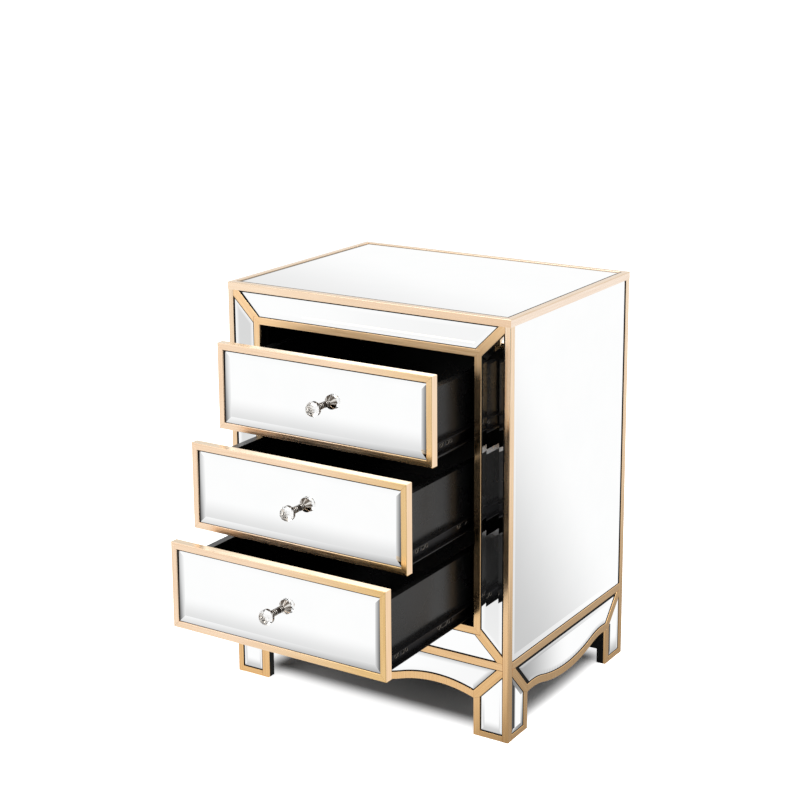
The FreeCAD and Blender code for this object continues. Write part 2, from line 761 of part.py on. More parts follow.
def knob_stem(name):
    """Turned stem: flange on the mirror, ribbed neck and the cup that holds the crystal."""
    profile = [(0, 0), (KNOB_FLANGE_RADIUS, 0), (KNOB_FLANGE_RADIUS, KNOB_FLANGE)]
    profile.append((KNOB_NECK_RADIUS, KNOB_FLANGE))
    for i in range(KNOB_RIB_COUNT):
        start = KNOB_FLANGE + i * KNOB_RIB_PITCH
        profile.append((KNOB_RIB_RADIUS, start + KNOB_RIB_PITCH / 2))
        profile.append((KNOB_NECK_RADIUS, start + KNOB_RIB_PITCH))
    profile += [(KNOB_CUP_RADIUS, KNOB_CUP_END), (0, KNOB_CUP_END)]
    corners = [Vector(radius, 0, out) for radius, out in profile]
    stem = Part.Face(Part.makePolygon(corners + corners[:1])).revolve(Vector(0, 0, 0), Vector(0, 0, 1), 360)
    bore = Part.makeCylinder(KNOB_SCREW_RADIUS + SCREW_CLEARANCE, KNOB_SCREW_ENGAGEMENT)
    return [turned_out(stem.cut(bore), name)]


def ring(radius, out, half_step):
    """Corners of one level of the crystal, turned by half a step on every other level."""
    angles = [2 * math.pi * (i + half_step / 2) / CRYSTAL_SIDES for i in range(CRYSTAL_SIDES)]
    return [Vector(radius * math.cos(angle), radius * math.sin(angle), out) for angle in angles]


def facet(corners):
    """Flat face through corners."""
    return Part.Face(Part.makePolygon(corners + corners[:1]))


def knob_crystal(name):
    """Cut crystal: pavilion, girdle, crown and a flat table."""
    seat = KNOB_CUP_END
    girdle = seat + CRYSTAL_PAVILION
    crown = girdle + CRYSTAL_GIRDLE
    shoulder = crown + CRYSTAL_CROWN
    rings = [
        ring(CRYSTAL_SEAT_RADIUS, seat, 0), ring(CRYSTAL_GIRDLE_RADIUS, girdle, 1),
        ring(CRYSTAL_GIRDLE_RADIUS, crown, 0), ring(CRYSTAL_CROWN_RADIUS, shoulder, 1),
        ring(CRYSTAL_TABLE_RADIUS, shoulder + CRYSTAL_CAP, 0),
    ]
    faces = [facet(rings[0]), facet(rings[-1])]
    for level in range(len(rings) - 1):
        lower = rings[level]
        upper = rings[level + 1]
        lead = level % 2
        for i in range(CRYSTAL_SIDES):
            j = (i + 1) % CRYSTAL_SIDES
            faces.append(facet([lower[i], lower[j], upper[(i + lead) % CRYSTAL_SIDES]]))
            faces.append(facet([upper[i], upper[j], lower[(i + 1 - lead) % CRYSTAL_SIDES]]))
    solid = Part.Solid(Part.Shell(faces))
    return [turned_out(solid, name)]


def drawer_screws(name):
    """Knob screw and the screws of the slide rails."""
    back = knob_axis(name) + Vector(0, FRONT_THICKNESS, 0)
    length = FRONT_THICKNESS - FRONT_GLASS_RECESS + KNOB_SCREW_ENGAGEMENT
    head = Part.makeCylinder(KNOB_SCREW_HEAD_RADIUS, KNOB_SCREW_HEAD, back, Vector(0, 1, 0))
    knob_screw = head.fuse(Part.makeCylinder(KNOB_SCREW_RADIUS, length, back, Vector(0, -1, 0)))
    screws = [knob_screw]
    for side in (-1, 1):
        screws += [screw(seat, Vector(-side, 0, 0), RAIL_SCREW) for seat in rail_seats(name, side)]
    return screws


CASE_NODES = (
    side_boards, top_board, bottom_board, back_board, back_board_screws, runner_panels, face_frame_boards,
    corner_posts, apron_board_front, apron_boards_side, foot_boards, rear_rail, top_border, opening_trim,
    mitre_trim, waist_trim, apron_trim, foot_trim, top_mirror, side_mirrors, fascia_mirrors, stile_mirrors,
    apron_mirror_front, apron_mirrors_side, foot_mirrors, slide_channels, slide_screws,
)
DRAWER_NODES = (
    front_frame, front_mirror, front_board, box_sides, box_back, box_panel, slide_rails, knob_stem,
    knob_crystal, drawer_screws,
)


def export(node, solids):
    """Write one node: a single solid, or a group of separate ones."""
    shape = solids[0] if len(solids) == 1 else Part.makeCompound(solids)
    shape.exportStep("parts/" + node + ".step")


def main():
    """Build every node of the case and of the drawers."""
    os.makedirs("parts", exist_ok=True)
    for build in CASE_NODES:
        export(build.__name__, build())
    for name in DRAWER_NAMES:
        for build in DRAWER_NODES:
            solids = build(name)
            for solid in solids:
                solid.translate(Vector(0, -DRAWN[name], 0))
            label = build.__name__.replace("drawer_", "")
            export("drawer_" + name + "_" + label, solids)
        export("drawer_" + name + "_ball_cages", ball_cages(name))


main()
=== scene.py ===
"""Looks of a mirrored three-drawer bedside chest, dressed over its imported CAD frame."""

from __future__ import annotations

import logging
from dataclasses import dataclass, replace
from enum import Enum

import bpy
import numpy as np
from mathutils import Matrix, Vector

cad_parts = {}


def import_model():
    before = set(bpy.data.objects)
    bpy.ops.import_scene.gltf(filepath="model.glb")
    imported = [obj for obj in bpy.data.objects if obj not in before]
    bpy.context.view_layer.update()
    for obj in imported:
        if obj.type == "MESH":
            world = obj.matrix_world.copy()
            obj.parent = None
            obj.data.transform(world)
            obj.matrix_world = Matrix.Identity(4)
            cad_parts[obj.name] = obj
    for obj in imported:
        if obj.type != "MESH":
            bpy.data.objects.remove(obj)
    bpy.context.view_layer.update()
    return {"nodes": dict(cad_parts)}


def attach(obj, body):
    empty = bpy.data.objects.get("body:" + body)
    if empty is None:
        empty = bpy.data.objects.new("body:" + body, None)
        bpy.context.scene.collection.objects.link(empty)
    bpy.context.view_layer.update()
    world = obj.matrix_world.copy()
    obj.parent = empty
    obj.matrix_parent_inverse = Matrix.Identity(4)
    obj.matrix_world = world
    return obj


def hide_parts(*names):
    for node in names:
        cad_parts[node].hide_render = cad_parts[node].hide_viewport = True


LOG = logging.getLogger("chest")
MM = 0.001
SURFACE_MAP = "surface"
SMOOTH_ANGLE = np.radians(32)
ROUND_STEPS = 4
POLE_RADIUS = 0.01
STRAIGHT_TURN = 1e-6

Tree = bpy.types.NodeTree
Socket = bpy.types.NodeSocket
Pair = tuple[float, float]
Triple = tuple[float, float, float]
Tones = tuple[Pair, ...]


# Colour and node helpers

def linear(code: str) -> tuple[float, float, float, float]:
    """Turn an sRGB hex colour into linear RGBA.

    Args:
        code: Colour such as "#D9B382".

    Returns:
        Linear red, green, blue and an alpha of one.
    """
    srgb = np.array([int(code[i:i + 2], 16) for i in (1, 3, 5)]) / 255
    low = srgb / 12.92
    high = ((srgb + 0.055) / 1.055) ** 2.4
    red, green, blue = np.where(srgb <= 0.04045, low, high)
    return float(red), float(green), float(blue), 1.0


def node(tree: Tree, kind: str, inputs: dict | None = None, out: str | int = 0, **settings) -> Socket | None:
    """Add a shader node with its settings, input values and links.

    Args:
        tree: Node tree that gets the node.
        kind: Blender's name of the node type, without the ShaderNode it starts with.
        inputs: Input name or number to a value, or to an output socket to link.
        out: Name or number of the output to give back.
        settings: Attributes of the node to set before its inputs.

    Returns:
        That output, or None where the node has no output.
    """
    made = tree.nodes.new(f"ShaderNode{kind}")
    for name, value in settings.items():
        setattr(made, name, value)
    for name, value in (inputs or {}).items():
        if isinstance(value, Socket):
            tree.links.new(value, made.inputs[name])
        else:
            made.inputs[name].default_value = value
    return made.outputs[out] if made.outputs else None


def clouds(tree: Tree, size_mm: float, detail: float) -> Socket:
    """Level of soft clouds of a size over the object, mostly from 0.3 to 0.7."""
    place = node(tree, "TexCoord", out="Object")
    return node(tree, "TexNoise", {"Vector": place, "Scale": 1 / (size_mm * MM), "Detail": detail})


def streaks(tree: Tree, length_mm: float, width_mm: float, detail: float, spread: float) -> Socket:
    """Streaks that follow the surface map, drawn wide enough to show.

    Args:
        tree: Node tree of the finish.
        length_mm: Length of a streak.
        width_mm: Its width.
        detail: Finer layers in it.
        spread: Range of the noise, either side of its middle, that goes from zero to one.

    Returns:
        Their level from zero to one.
    """
    mapped = node(tree, "UVMap", uv_map=SURFACE_MAP)
    scale = tuple(1 / (size * MM) for size in (length_mm, width_mm, width_mm))
    place = node(tree, "Mapping", {"Vector": mapped, "Scale": scale})
    noise = node(tree, "TexNoise", {"Vector": place, "Scale": 1.0, "Detail": detail})
    return node(tree, "MapRange", {"Value": noise, "From Min": 0.5 - spread, "From Max": 0.5 + spread})


@dataclass(frozen=True)
class Finish:
    """A material with its name; each kind of finish gives its own surface."""

    name: str

    def surface(self, tree: Tree) -> Socket:
        """Shader of the finish, made by each kind."""
        raise NotImplementedError

    def material(self) -> bpy.types.Material:
        """The finish as a material, made once.

        Returns:
            The material.
        """
        made = bpy.data.materials.get(self.name)
        if made is None:
            made = bpy.data.materials.new(self.name)
            made.use_nodes = True
            made.node_tree.nodes.clear()
            node(made.node_tree, "OutputMaterial", {"Surface": self.surface(made.node_tree)})
        return made


@dataclass(frozen=True)
class SilveredGlass(Finish):
    """Float glass silvered on its back: a clean, faintly cool mirror with the slightest wiping marks.

    Painted shade: the silver is painted greyer along some bevels and towards some edges, standing in for the shaded
    floor and room that they reflect. The surface map holds that painted tone: its first number runs from zero to one
    on the way from grey to white, and its second is the tone where the first is zero.
    """

    silver: str = "#FFFFFF"
    silver_worn: str = "#FBFCFC"
    wipe_mm: float = 45.0

    def surface(self, tree: Tree) -> Socket:
        """Sharp mirror, with the painted shade of the surface map.

        Args:
            tree: Node tree of the material.

        Returns:
            The shader.
        """
        wipe = clouds(tree, self.wipe_mm, detail=3.0)
        wiped = node(tree, "Mix", {0: wipe, 6: linear(self.silver_worn), 7: linear(self.silver)}, 2, data_type="RGBA")
        # Painted shade: the surface map's tone darkens the silver where it stands in for shaded reflections
        mapped = node(tree, "UVMap", uv_map=SURFACE_MAP)
        share, grey = (node(tree, "SeparateXYZ", {"Vector": mapped}, axis) for axis in "XY")
        tone = node(tree, "MapRange", {"Value": share, "To Min": grey}, interpolation_type="SMOOTHSTEP")
        silvered = node(tree, "Mix", {0: tone, 6: linear("#000000"), 7: wiped}, 2, data_type="RGBA")
        return node(tree, "BsdfPrincipled", {"Base Color": silvered, "Metallic": 1.0, "Roughness": 0.0})


@dataclass(frozen=True)
class ChampagnePaint(Finish):
    """Champagne-gold leaf paint brushed on wood moulding: satin metal with streaks along each bar.

    Painted light: its ground is painted from a deeper gold to a paler champagne with height less the slant times the
    place to the right, each as a light and a dark streak, standing in for the light that falls more on higher and more
    leftward parts. It can be duller from a height on.
    """

    low: tuple[str, str] = ("#F0C387", "#DAAD78")
    high: tuple[str, str] = ("#FBE6CD", "#F0D3B2")
    painted_light_m: Pair = (0.0, 0.66)
    slant: float = 0.0
    gloss: float = 0.16
    satin: float = 0.27
    dull: float = 0.0
    dull_m: Pair = (0.545, 0.575)
    streak_length_mm: float = 70.0
    streak_width_mm: float = 2.2
    streak_depth_mm: float = 0.008

    def surface(self, tree: Tree) -> Socket:
        """Satin metal with brushed streaks.

        Args:
            tree: Node tree of the material.

        Returns:
            The shader.
        """
        streak = streaks(tree, self.streak_length_mm, self.streak_width_mm, detail=3.0, spread=0.2)
        low, high = (node(tree, "Mix", {0: streak, 6: linear(dark), 7: linear(light)}, 2, data_type="RGBA")
                     for light, dark in (self.low, self.high))
        # Painted light: the gold is paler higher up and, with a slant, further to the left
        spot = node(tree, "TexCoord", out="Object")
        level = node(tree, "SeparateXYZ", {"Vector": spot}, "Z")
        along = node(tree, "VectorMath", {0: spot, 1: (-self.slant, 0.0, 1.0)}, "Value", operation="DOT_PRODUCT")
        pale = node(tree, "MapRange", {"Value": along, "From Min": self.painted_light_m[0], "From Max": self.painted_light_m[1]})
        colour = node(tree, "Mix", {0: pale, 6: low, 7: high}, 2, data_type="RGBA")
        brushed = node(tree, "MapRange", {"Value": streak, "To Min": self.gloss, "To Max": self.satin})
        dulled = node(tree, "MapRange", {
            "Value": level, "From Min": self.dull_m[0], "From Max": self.dull_m[1], "To Max": self.dull},
            interpolation_type="SMOOTHSTEP")
        rough = node(tree, "Math", {0: brushed, 1: dulled}, operation="ADD")
        relief = node(tree, "Bump", {"Height": streak, "Distance": self.streak_depth_mm * MM, "Strength": 1.0})
        return node(tree, "BsdfPrincipled", {
            "Base Color": colour, "Metallic": 1.0, "Roughness": rough, "Normal": relief})


@dataclass(frozen=True)
class Mottled(Finish):
    """A finish whose colour and gloss vary a little over it, each between two values."""

    light: str = "#C9CACC"
    dark: str = "#B4B5B8"
    roughness: Pair = (0.22, 0.36)
    mottle_mm: float = 8.0
    detail: float = 3.0

    def pattern(self, tree: Tree) -> Socket:
        """Mottling from zero to one."""
        mottle = clouds(tree, self.mottle_mm, self.detail)
        return node(tree, "MapRange", {"Value": mottle, "From Min": 0.3, "From Max": 0.7})

    def ground(self, tree: Tree) -> dict[str, Socket]:
        """Colour and roughness that follow the pattern.

        Args:
            tree: Node tree of the material.

        Returns:
            The shader's inputs for them.
        """
        share = self.pattern(tree)
        colour = node(tree, "Mix", {0: share, 6: linear(self.dark), 7: linear(self.light)}, 2, data_type="RGBA")
        rough = node(tree, "MapRange", {"Value": share, "To Min": self.roughness[0], "To Max": self.roughness[1]})
        return {"Base Color": colour, "Roughness": rough}


@dataclass(frozen=True)
class PlatedSteel(Mottled):
    """Plated steel, rolled or turned: metallic, with a soft gloss that varies a little over the plate."""

    def surface(self, tree: Tree) -> Socket:
        """Metal with a mottled plate."""
        return node(tree, "BsdfPrincipled", self.ground(tree) | {"Metallic": 1.0})


@dataclass(frozen=True)
class BoardPaint(Mottled):
    """Paint or foil on fibreboard: dark, with a fine rolled texture and slight mottling."""

    light: str = "#0D0D0D"
    dark: str = "#080808"
    roughness: Pair = (0.42, 0.6)
    mottle_mm: float = 60.0
    detail: float = 4.0
    roll_mm: float = 1.6
    roll_depth_mm: float = 0.03
    specular: float = 0.08

    def surface(self, tree: Tree) -> Socket:
        """Mottled colour with the roller's fine relief, drawn as coarse as it needs to show.

        Args:
            tree: Node tree of the material.

        Returns:
            The shader.
        """
        roll = clouds(tree, self.roll_mm, detail=2.0)
        relief = node(tree, "Bump", {"Height": roll, "Distance": self.roll_depth_mm * MM, "Strength": 1.0})
        return node(tree, "BsdfPrincipled", self.ground(tree) | {
            "Specular IOR Level": self.specular, "Normal": relief})


@dataclass(frozen=True)
class TurnedNickel(PlatedSteel):
    """Nickel polished on the lathe: bright, with dark brown streaks that run out along the turning, painted reflections
    of dark surroundings.
    """

    light: str = "#F4EFE8"
    # Painted reflection: the dark brown of the streaks
    dark: str = "#5F554C"
    roughness: Pair = (0.09, 0.03)
    detail: float = 1.0
    streak_length_mm: float = 26.0
    streak_width_mm: float = 2.6

    def pattern(self, tree: Tree) -> Socket:
        """Streaks in place of the mottling."""
        return streaks(tree, self.streak_length_mm, self.streak_width_mm, self.detail, spread=0.08)


@dataclass(frozen=True)
class CutCrystal(Finish):
    """Pressed and polished lead crystal: clear and bright, with sharp facets and a faint uneven grey in the glass."""

    clear: str = "#FDFDFD"
    grey: str = "#F3F2F0"
    cord_mm: float = 9.0
    ior: float = 1.56

    def surface(self, tree: Tree) -> Socket:
        """Clear glass with soft cords in its tint.

        Args:
            tree: Node tree of the material.

        Returns:
            The shader.
        """
        cords = clouds(tree, self.cord_mm, detail=2.0)
        tint = node(tree, "Mix", {0: cords, 6: linear(self.grey), 7: linear(self.clear)}, 2, data_type="RGBA")
        return node(tree, "BsdfPrincipled", {
            "Base Color": tint, "Roughness": 0.0, "IOR": self.ior, "Transmission Weight": 1.0})


MIRROR = SilveredGlass("silvered_glass")
GOLD = ChampagnePaint("champagne_paint")
# Pale pinkish front of the top's border, painted deeper toward its right end: a copy of the gold with painted light and
# shade
GOLD_FASCIA = ChampagnePaint("champagne_paint_border", ("#F2D2B2", "#E8C6A4"), ("#FFE9CF", "#FBDFC1"),
                             (0.385, 0.885), 1.0)
# Ends of that border, painted nearly white: a lit copy of the gold, painted light
GOLD_SIDE = ChampagnePaint("champagne_paint_side", high=("#FDEDDD", "#F4DDC8"))
# Flat of the border, painted greyer: painted shade on the face that looks up at the bright room
GOLD_TOP = ChampagnePaint("champagne_paint_top", high=("#EAD6BF", "#E0C5A6"))
# Warmer trim round the opening, matt along its top, where it stands in the border's shade
GOLD_OPENING = ChampagnePaint("champagne_paint_opening", high=("#FBDDB6", "#EFC996"), dull=0.32)
# Drawer frames painted from pale champagne on the left to a yellow gold on the right: painted light falling from the
# left
GOLD_FRAME = ChampagnePaint("champagne_paint_frames", ("#ECC88E", "#DFB87C"), ("#FEE2C5", "#F3D3B3"), (-0.42, 0.45),
                            4.0, 0.19, 0.29)
# Left and right thickness of the frames: a paler copy of the gold, painted light for the light they catch,
# mirror-smooth so it reflects the room
GOLD_EDGE = ChampagnePaint("champagne_paint_edge_painted_light", ("#F6CFA4", "#EAC193"), ("#FDE4C8", "#F4D7B8"),
                           gloss=0.0, satin=0.0, streak_depth_mm=0.001)
# Upper thickness of the frames, pale and soft: its own greyer copy of the gold, painted for the light from above
GOLD_RIDGE = ChampagnePaint("champagne_paint_pale_ridge", ("#E4CDB0", "#DAC19F"), ("#EADAC2", "#E2CDB0"),
                            gloss=0.22, satin=0.32)
BLACK = BoardPaint("black_board_paint")
# Smoother, glossier foil of the drawer boxes
FOILED = BoardPaint("black_foil_board", "#121212", "#0C0C0C", (0.24, 0.32), roll_depth_mm=0.01, specular=0.4)
SLIDE = PlatedSteel("black_zinc_sheet", "#2B2B2D", "#232325", (0.34, 0.4), 40.0)
ZINC = PlatedSteel("bright_zinc")
BLACK_ZINC = PlatedSteel("black_zinc_screws", "#3A3A3C", "#2B2B2D")
# Pressed rims of the rails' slots, in a lighter grey than the black web
GREY_RIM_ZINC = PlatedSteel("black_zinc_grey_rims", "#7C766E", "#5A544D")
NICKEL = TurnedNickel("turned_nickel")
# Grooves between the stem's ribs and its small flange, painted dark brown as painted shade and reflection
NICKEL_GROOVE = PlatedSteel("nickel_painted_groove_shade", "#3A322B", "#221D19", (0.1, 0.2))
CRYSTAL = CutCrystal("cut_crystal")
GLASS_EDGE = BoardPaint("blackened_glass_edge", "#141617", "#0C0D0E", (0.2, 0.3))


# Surfaces

@dataclass(frozen=True)
class Patch:
    """Part of a mesh: its points, its polygons as corner lists, the surface-map coordinates of each polygon's
    corners, and the number of each polygon's finish."""

    points: np.ndarray
    polygons: list[np.ndarray]
    marks: list[np.ndarray]
    finishes: np.ndarray | None = None

    @classmethod
    def mapped(cls, points: np.ndarray, polygons: list[np.ndarray], grain: np.ndarray,
               finishes: np.ndarray | None = None) -> Patch:
        """Patch with one place in the surface map for each point."""
        return cls(points, polygons, [grain[polygon] for polygon in polygons], finishes)


def ring_quads(rings: int, count: int) -> np.ndarray:
    """Quads between neighbouring closed rings of points.

    Args:
        rings: Number of rings, laid one after another.
        count: Points in each ring.

    Returns:
        One row of four point numbers for each quad.
    """
    ring, place = np.meshgrid(np.arange(rings - 1), np.arange(count), indexing="ij")
    low = ring * count
    after = (place + 1) % count
    return np.stack([low + place, low + after, low + count + after, low + count + place], axis=-1).reshape(-1, 4)


def at_depth(flat: np.ndarray, depth: np.ndarray) -> np.ndarray:
    """Rings of flat points with their depth, given for each ring or each point."""
    return np.concatenate([flat, np.broadcast_to(depth, flat.shape[:-1])[..., None]], axis=-1)


def closed(rings: np.ndarray) -> tuple[np.ndarray, list[np.ndarray]]:
    """Closed surface through rings of points, with a cap at each end.

    Args:
        rings: Points by ring and by place in it, from the back to the face.

    Returns:
        The points, and the corner lists of the quads, the last ring's cap and the first ring's.
    """
    count, size = rings.shape[:2]
    first = np.arange(size)
    return rings.reshape(-1, 3), [*ring_quads(count, size), first + (count - 1) * size, first[::-1]]


def inset(outline: np.ndarray, distance: np.ndarray) -> np.ndarray:
    """Move each edge of an outline inward and join the edges again.

    A corner moves by x, where x along the inward direction of each of its two edges is that edge's distance.

    Args:
        outline: Anticlockwise points, one row each.
        distance: Distance of the edge from each point on, with any number of leading axes.

    Returns:
        The moved corners, with the same leading axes.
    """
    edge = np.roll(outline, -1, axis=0) - outline
    along = edge / np.linalg.norm(edge, axis=1, keepdims=True)
    after = np.stack([-along[:, 1], along[:, 0]], axis=1)
    before = np.roll(after, 1, axis=0)
    first = np.roll(distance, 1, axis=-1)
    turn = before[:, 0] * after[:, 1] - before[:, 1] * after[:, 0]
    straight = np.abs(turn) < STRAIGHT_TURN
    safe = np.where(straight, 1.0, turn)
    move_u = (first * after[:, 1] - distance * before[:, 1]) / safe
    move_v = (distance * before[:, 0] - first * after[:, 0]) / safe
    move_u = np.where(straight, distance * after[:, 0], move_u)
    move_v = np.where(straight, distance * after[:, 1], move_v)
    return outline + np.stack([move_u, move_v], axis=-1)


class Run(Enum):
    """Direction of the grain in a strip: along its longest edge, or through its depth."""

    EDGE = "edge"
    DEPTH = "depth"


@dataclass(frozen=True)
class Strip:
    """Anticlockwise outline of a bar in millimetres, with the rounding of the edge from each point on."""

    outline: np.ndarray
    rounding: np.ndarray
    run: Run = Run.EDGE

    def flipped(self) -> Strip:
        """The strip's mirror image across u = 0."""
        return Strip(self.outline[::-1] * (-1, 1), np.roll(self.rounding[::-1], -1), self.run)

    def moved(self, shift: float) -> Strip:
        """The strip moved along u."""
        return replace(self, outline=self.outline + (shift, 0))

    def solid(self, low: float, high: float, back: float = 0.0, lean: float = 0.0, wall: int = 0) -> Patch:
        """Bar over the outline, with its front edges rounded as quarter ellipses.

        Ring k of the rounding lies at a turn t from 0 to 90 degrees: inward by r (1 - cos t) and below the face by
        the largest r times (1 - sin t).

        Args:
            low: Depth of the back.
            high: Depth of the face.
            back: Chamfer of the back edges.
            lean: How far the first edge's wall leans in from the back to the face.
            wall: Number of that wall's finish.

        Returns:
            The bar in u, v and depth.
        """
        turn = np.linspace(0, np.pi / 2, ROUND_STEPS + 1)
        depth = high - self.rounding.max() * (1 - np.sin(turn))
        moves = (1 - np.cos(turn))[:, None] * self.rounding
        first = np.minimum(self.rounding, back)[None]
        moves = np.concatenate([first, np.zeros_like(first), moves])
        depth = np.concatenate([[low, low + back], depth])
        if back == 0:
            moves, depth = moves[1:], depth[1:]
        moves[:, 0] += lean * (depth - low) / (high - low)
        points, polygons = closed(at_depth(inset(self.outline, moves), depth[:, None]))
        finishes = np.zeros(len(polygons), int)
        finishes[len(self.outline) if back else 0] = wall
        return Patch.mapped(points, polygons, self.grain_of(points), finishes)

    def grain_of(self, points: np.ndarray) -> np.ndarray:
        """Grain coordinates: along the bar, then across it and over its sides.

        Args:
            points: Points in u, v and depth.

        Returns:
            Two coordinates for each point, in metres.
        """
        if self.run is Run.DEPTH:
            return np.stack([points[:, 2], points[:, 0] + points[:, 1]], axis=1) * MM
        edge = np.roll(self.outline, -1, axis=0) - self.outline
        longest = edge[np.argmax(np.linalg.norm(edge, axis=1))]
        along = longest / np.linalg.norm(longest)
        across = np.array([-along[1], along[0]])
        return np.stack([points[:, :2] @ along, points[:, :2] @ across + points[:, 2]], axis=1) * MM


@dataclass(frozen=True)
class PaintedShade:
    """Painted shade of a mirror, standing in for the shaded room it reflects: grey at one point of its face and white
    at another, then the tones of the bevel's outer edge and of its inner edge, as one pair for the two ends of each
    edge or one number for all of them.

    An inner tone that is not a number is that of the face beside it.
    """

    start: Pair = (0.0, 0.0)
    end: Pair = (0.0, 1.0)
    grey: float = 1.0
    rim: Tones | float = 1.0
    inner: Tones | float = np.nan

    def share(self, points: np.ndarray) -> np.ndarray:
        """How far points lie along the line from start to end, from zero to one between them."""
        line = np.subtract(self.end, self.start)
        return (points - self.start) @ line / (line @ line)

    def tone(self, points: np.ndarray) -> np.ndarray:
        """Tone at points: from grey to one by the smooth step 3 t^2 - 2 t^3 of the share t."""
        share = np.clip(self.share(points), 0, 1)
        return self.grey + (1 - self.grey) * share ** 2 * (3 - 2 * share)


@dataclass(frozen=True)
class BevelledMirror:
    """Mirror over an outline, with a black liner between it and the trim.

    The silver is on the back of the glass, and a bevel is a thin prism in front of it, which turns what it shows
    towards the middle of the panel. It is drawn as a band that turns inward by the prism angle.
    """

    outline: np.ndarray
    # Painted shade of the silver, standing in for shaded reflections
    painted_shade: PaintedShade = PaintedShade()
    recess: float = 1.5
    back: float = 4.0
    liner: float | tuple[float, ...] = 1.3
    liner_recess: float = 0.8
    gap: float = 0.1
    bevel: float = 7.0
    prism_deg: float = 3.5
    lean: float = 0.0

    def glass(self) -> Patch:
        """Glass in u, v and depth: an edge wall, the bevel band and the flat middle.

        The depth of a point falls linearly over the bevel by its width times the tangent of the prism angle, and
        the whole face leans back by a set depth over its height.

        Returns:
            The glass, its wall and back with the second finish.
        """
        count = len(self.outline)
        edge = np.broadcast_to(np.array(self.liner) + self.gap, count)
        fall = self.bevel * np.tan(np.radians(self.prism_deg))
        flat = inset(self.outline, np.stack([edge, edge, edge + self.bevel]))
        depth = np.array([-self.back, -self.recess, -self.recess - fall])
        level = np.broadcast_to(depth[:, None], flat.shape[:2]).copy()
        height = self.outline[:, 1]
        level[1:] -= self.lean * (flat[1:, :, 1] - height.min()) / np.ptp(height)
        points, polygons = closed(at_depth(flat, level))
        finishes = np.zeros(len(polygons), int)
        finishes[[*range(count), -1]] = 1
        return Patch(points, polygons, self.tones(flat), finishes)

    def tones(self, flat: np.ndarray) -> list[np.ndarray]:
        """Surface-map coordinates: over a bevel the tone goes from that of its outer edge to that of its inner one.

        Args:
            flat: Rings of points in u and v.

        Returns:
            Coordinates of the corners of the wall, the bevel, the middle and the back.
        """
        count = len(self.outline)
        plain = np.ones((count, 4, 2))
        middle = np.stack([self.painted_shade.share(flat[-1]), np.full(count, self.painted_shade.grey)], axis=1)
        band = np.zeros((count, 4, 2))
        band[:, :2, 1] = self.painted_shade.rim
        face = self.painted_shade.tone(flat[-1])
        beside = np.stack([face, np.roll(face, -1)], axis=1)
        inner = np.broadcast_to(self.painted_shade.inner, (count, 2))
        band[:, [3, 2], 1] = np.where(np.isnan(inner), beside, inner)
        return [*plain, *band, middle, plain[:, 0]]

    def black_liner(self) -> Patch:
        """Thin black strip inside the trim, from the board to just below the trim's face.

        It is left out along edges whose liner is zero wide, and closed where it ends.

        Returns:
            The strip in u, v and depth.
        """
        count = len(self.outline)
        width = np.broadcast_to(np.array(self.liner), count)
        flat = inset(self.outline, np.array([0.0, 0.0, 1.0, 1.0])[:, None] * width)
        depth = np.array([-self.back, -self.liner_recess, -self.liner_recess, -self.back])
        points = at_depth(flat, depth[:, None]).reshape(-1, 3)
        kept = width > 0
        quads = (ring_quads(5, count) % (4 * count)).reshape(4, count, 4)[:, kept].reshape(-1, 4)
        rings = np.arange(4) * count
        first = np.flatnonzero(kept & ~np.roll(kept, 1))
        last = (np.flatnonzero(kept & ~np.roll(kept, -1)) + 1) % count
        polygons = [*quads, *(first[:, None] + rings), *(last[:, None] + rings[::-1])]
        return Patch.mapped(points, polygons, points[:, :2] * MM)


def rectangle(u0: float, u1: float, v0: float, v1: float) -> np.ndarray:
    """Anticlockwise corners of a rectangle."""
    return np.array([(u0, v0), (u1, v0), (u1, v1), (u0, v1)])


def revolved(profile: np.ndarray, sides: int) -> Patch:
    """Turn a profile about its axis: a point of radius r and height h goes to (r cos a, r sin a, h).

    Args:
        profile: Radius and height of each point, from the lower pole to the upper one.
        sides: Points around.

    Returns:
        The turned surface, closed by a polygon at each end.
    """
    angle = np.linspace(0, 2 * np.pi, sides, endpoint=False)
    radius, height = profile[:, :1], profile[:, 1:]
    flat = np.stack([radius * np.cos(angle), radius * np.sin(angle)], axis=-1)
    points, polygons = closed(at_depth(flat, height))
    grain = np.stack(np.broadcast_arrays(height, radius.mean() * angle), axis=-1).reshape(-1, 2) * MM
    return Patch.mapped(points, polygons, grain)


def arc_through(first: Pair, middle: Pair, last: Pair, steps: int) -> np.ndarray:
    """Points on the circle through three points, from the first to the last.

    The centre c solves 2 (p - first) . c = |p|^2 - |first|^2 for the other two points.

    Args:
        first: Start.
        middle: Point on the way.
        last: End.
        steps: Number of steps.

    Returns:
        Steps plus one points.
    """
    start, via, end = (np.array(point, float) for point in (first, middle, last))
    rows = 2 * np.stack([via - start, end - start])
    centre = np.linalg.solve(rows, np.array([via @ via - start @ start, end @ end - start @ start]))
    angles = np.unwrap([np.arctan2(*(point - centre)[::-1]) for point in (start, via, end)])
    turn = np.linspace(angles[0], angles[2], steps + 1)
    radius = np.linalg.norm(start - centre)
    return centre + radius * np.stack([np.cos(turn), np.sin(turn)], axis=1)


def rounded_corner(centre: Pair, radius: float, start_deg: float, steps: int = 6) -> np.ndarray:
    """Quarter circle in a number of steps, anticlockwise from a start angle."""
    turn = np.radians(start_deg + np.linspace(0, 90, steps + 1))
    return np.array(centre) + radius * np.stack([np.cos(turn), np.sin(turn)], axis=1)


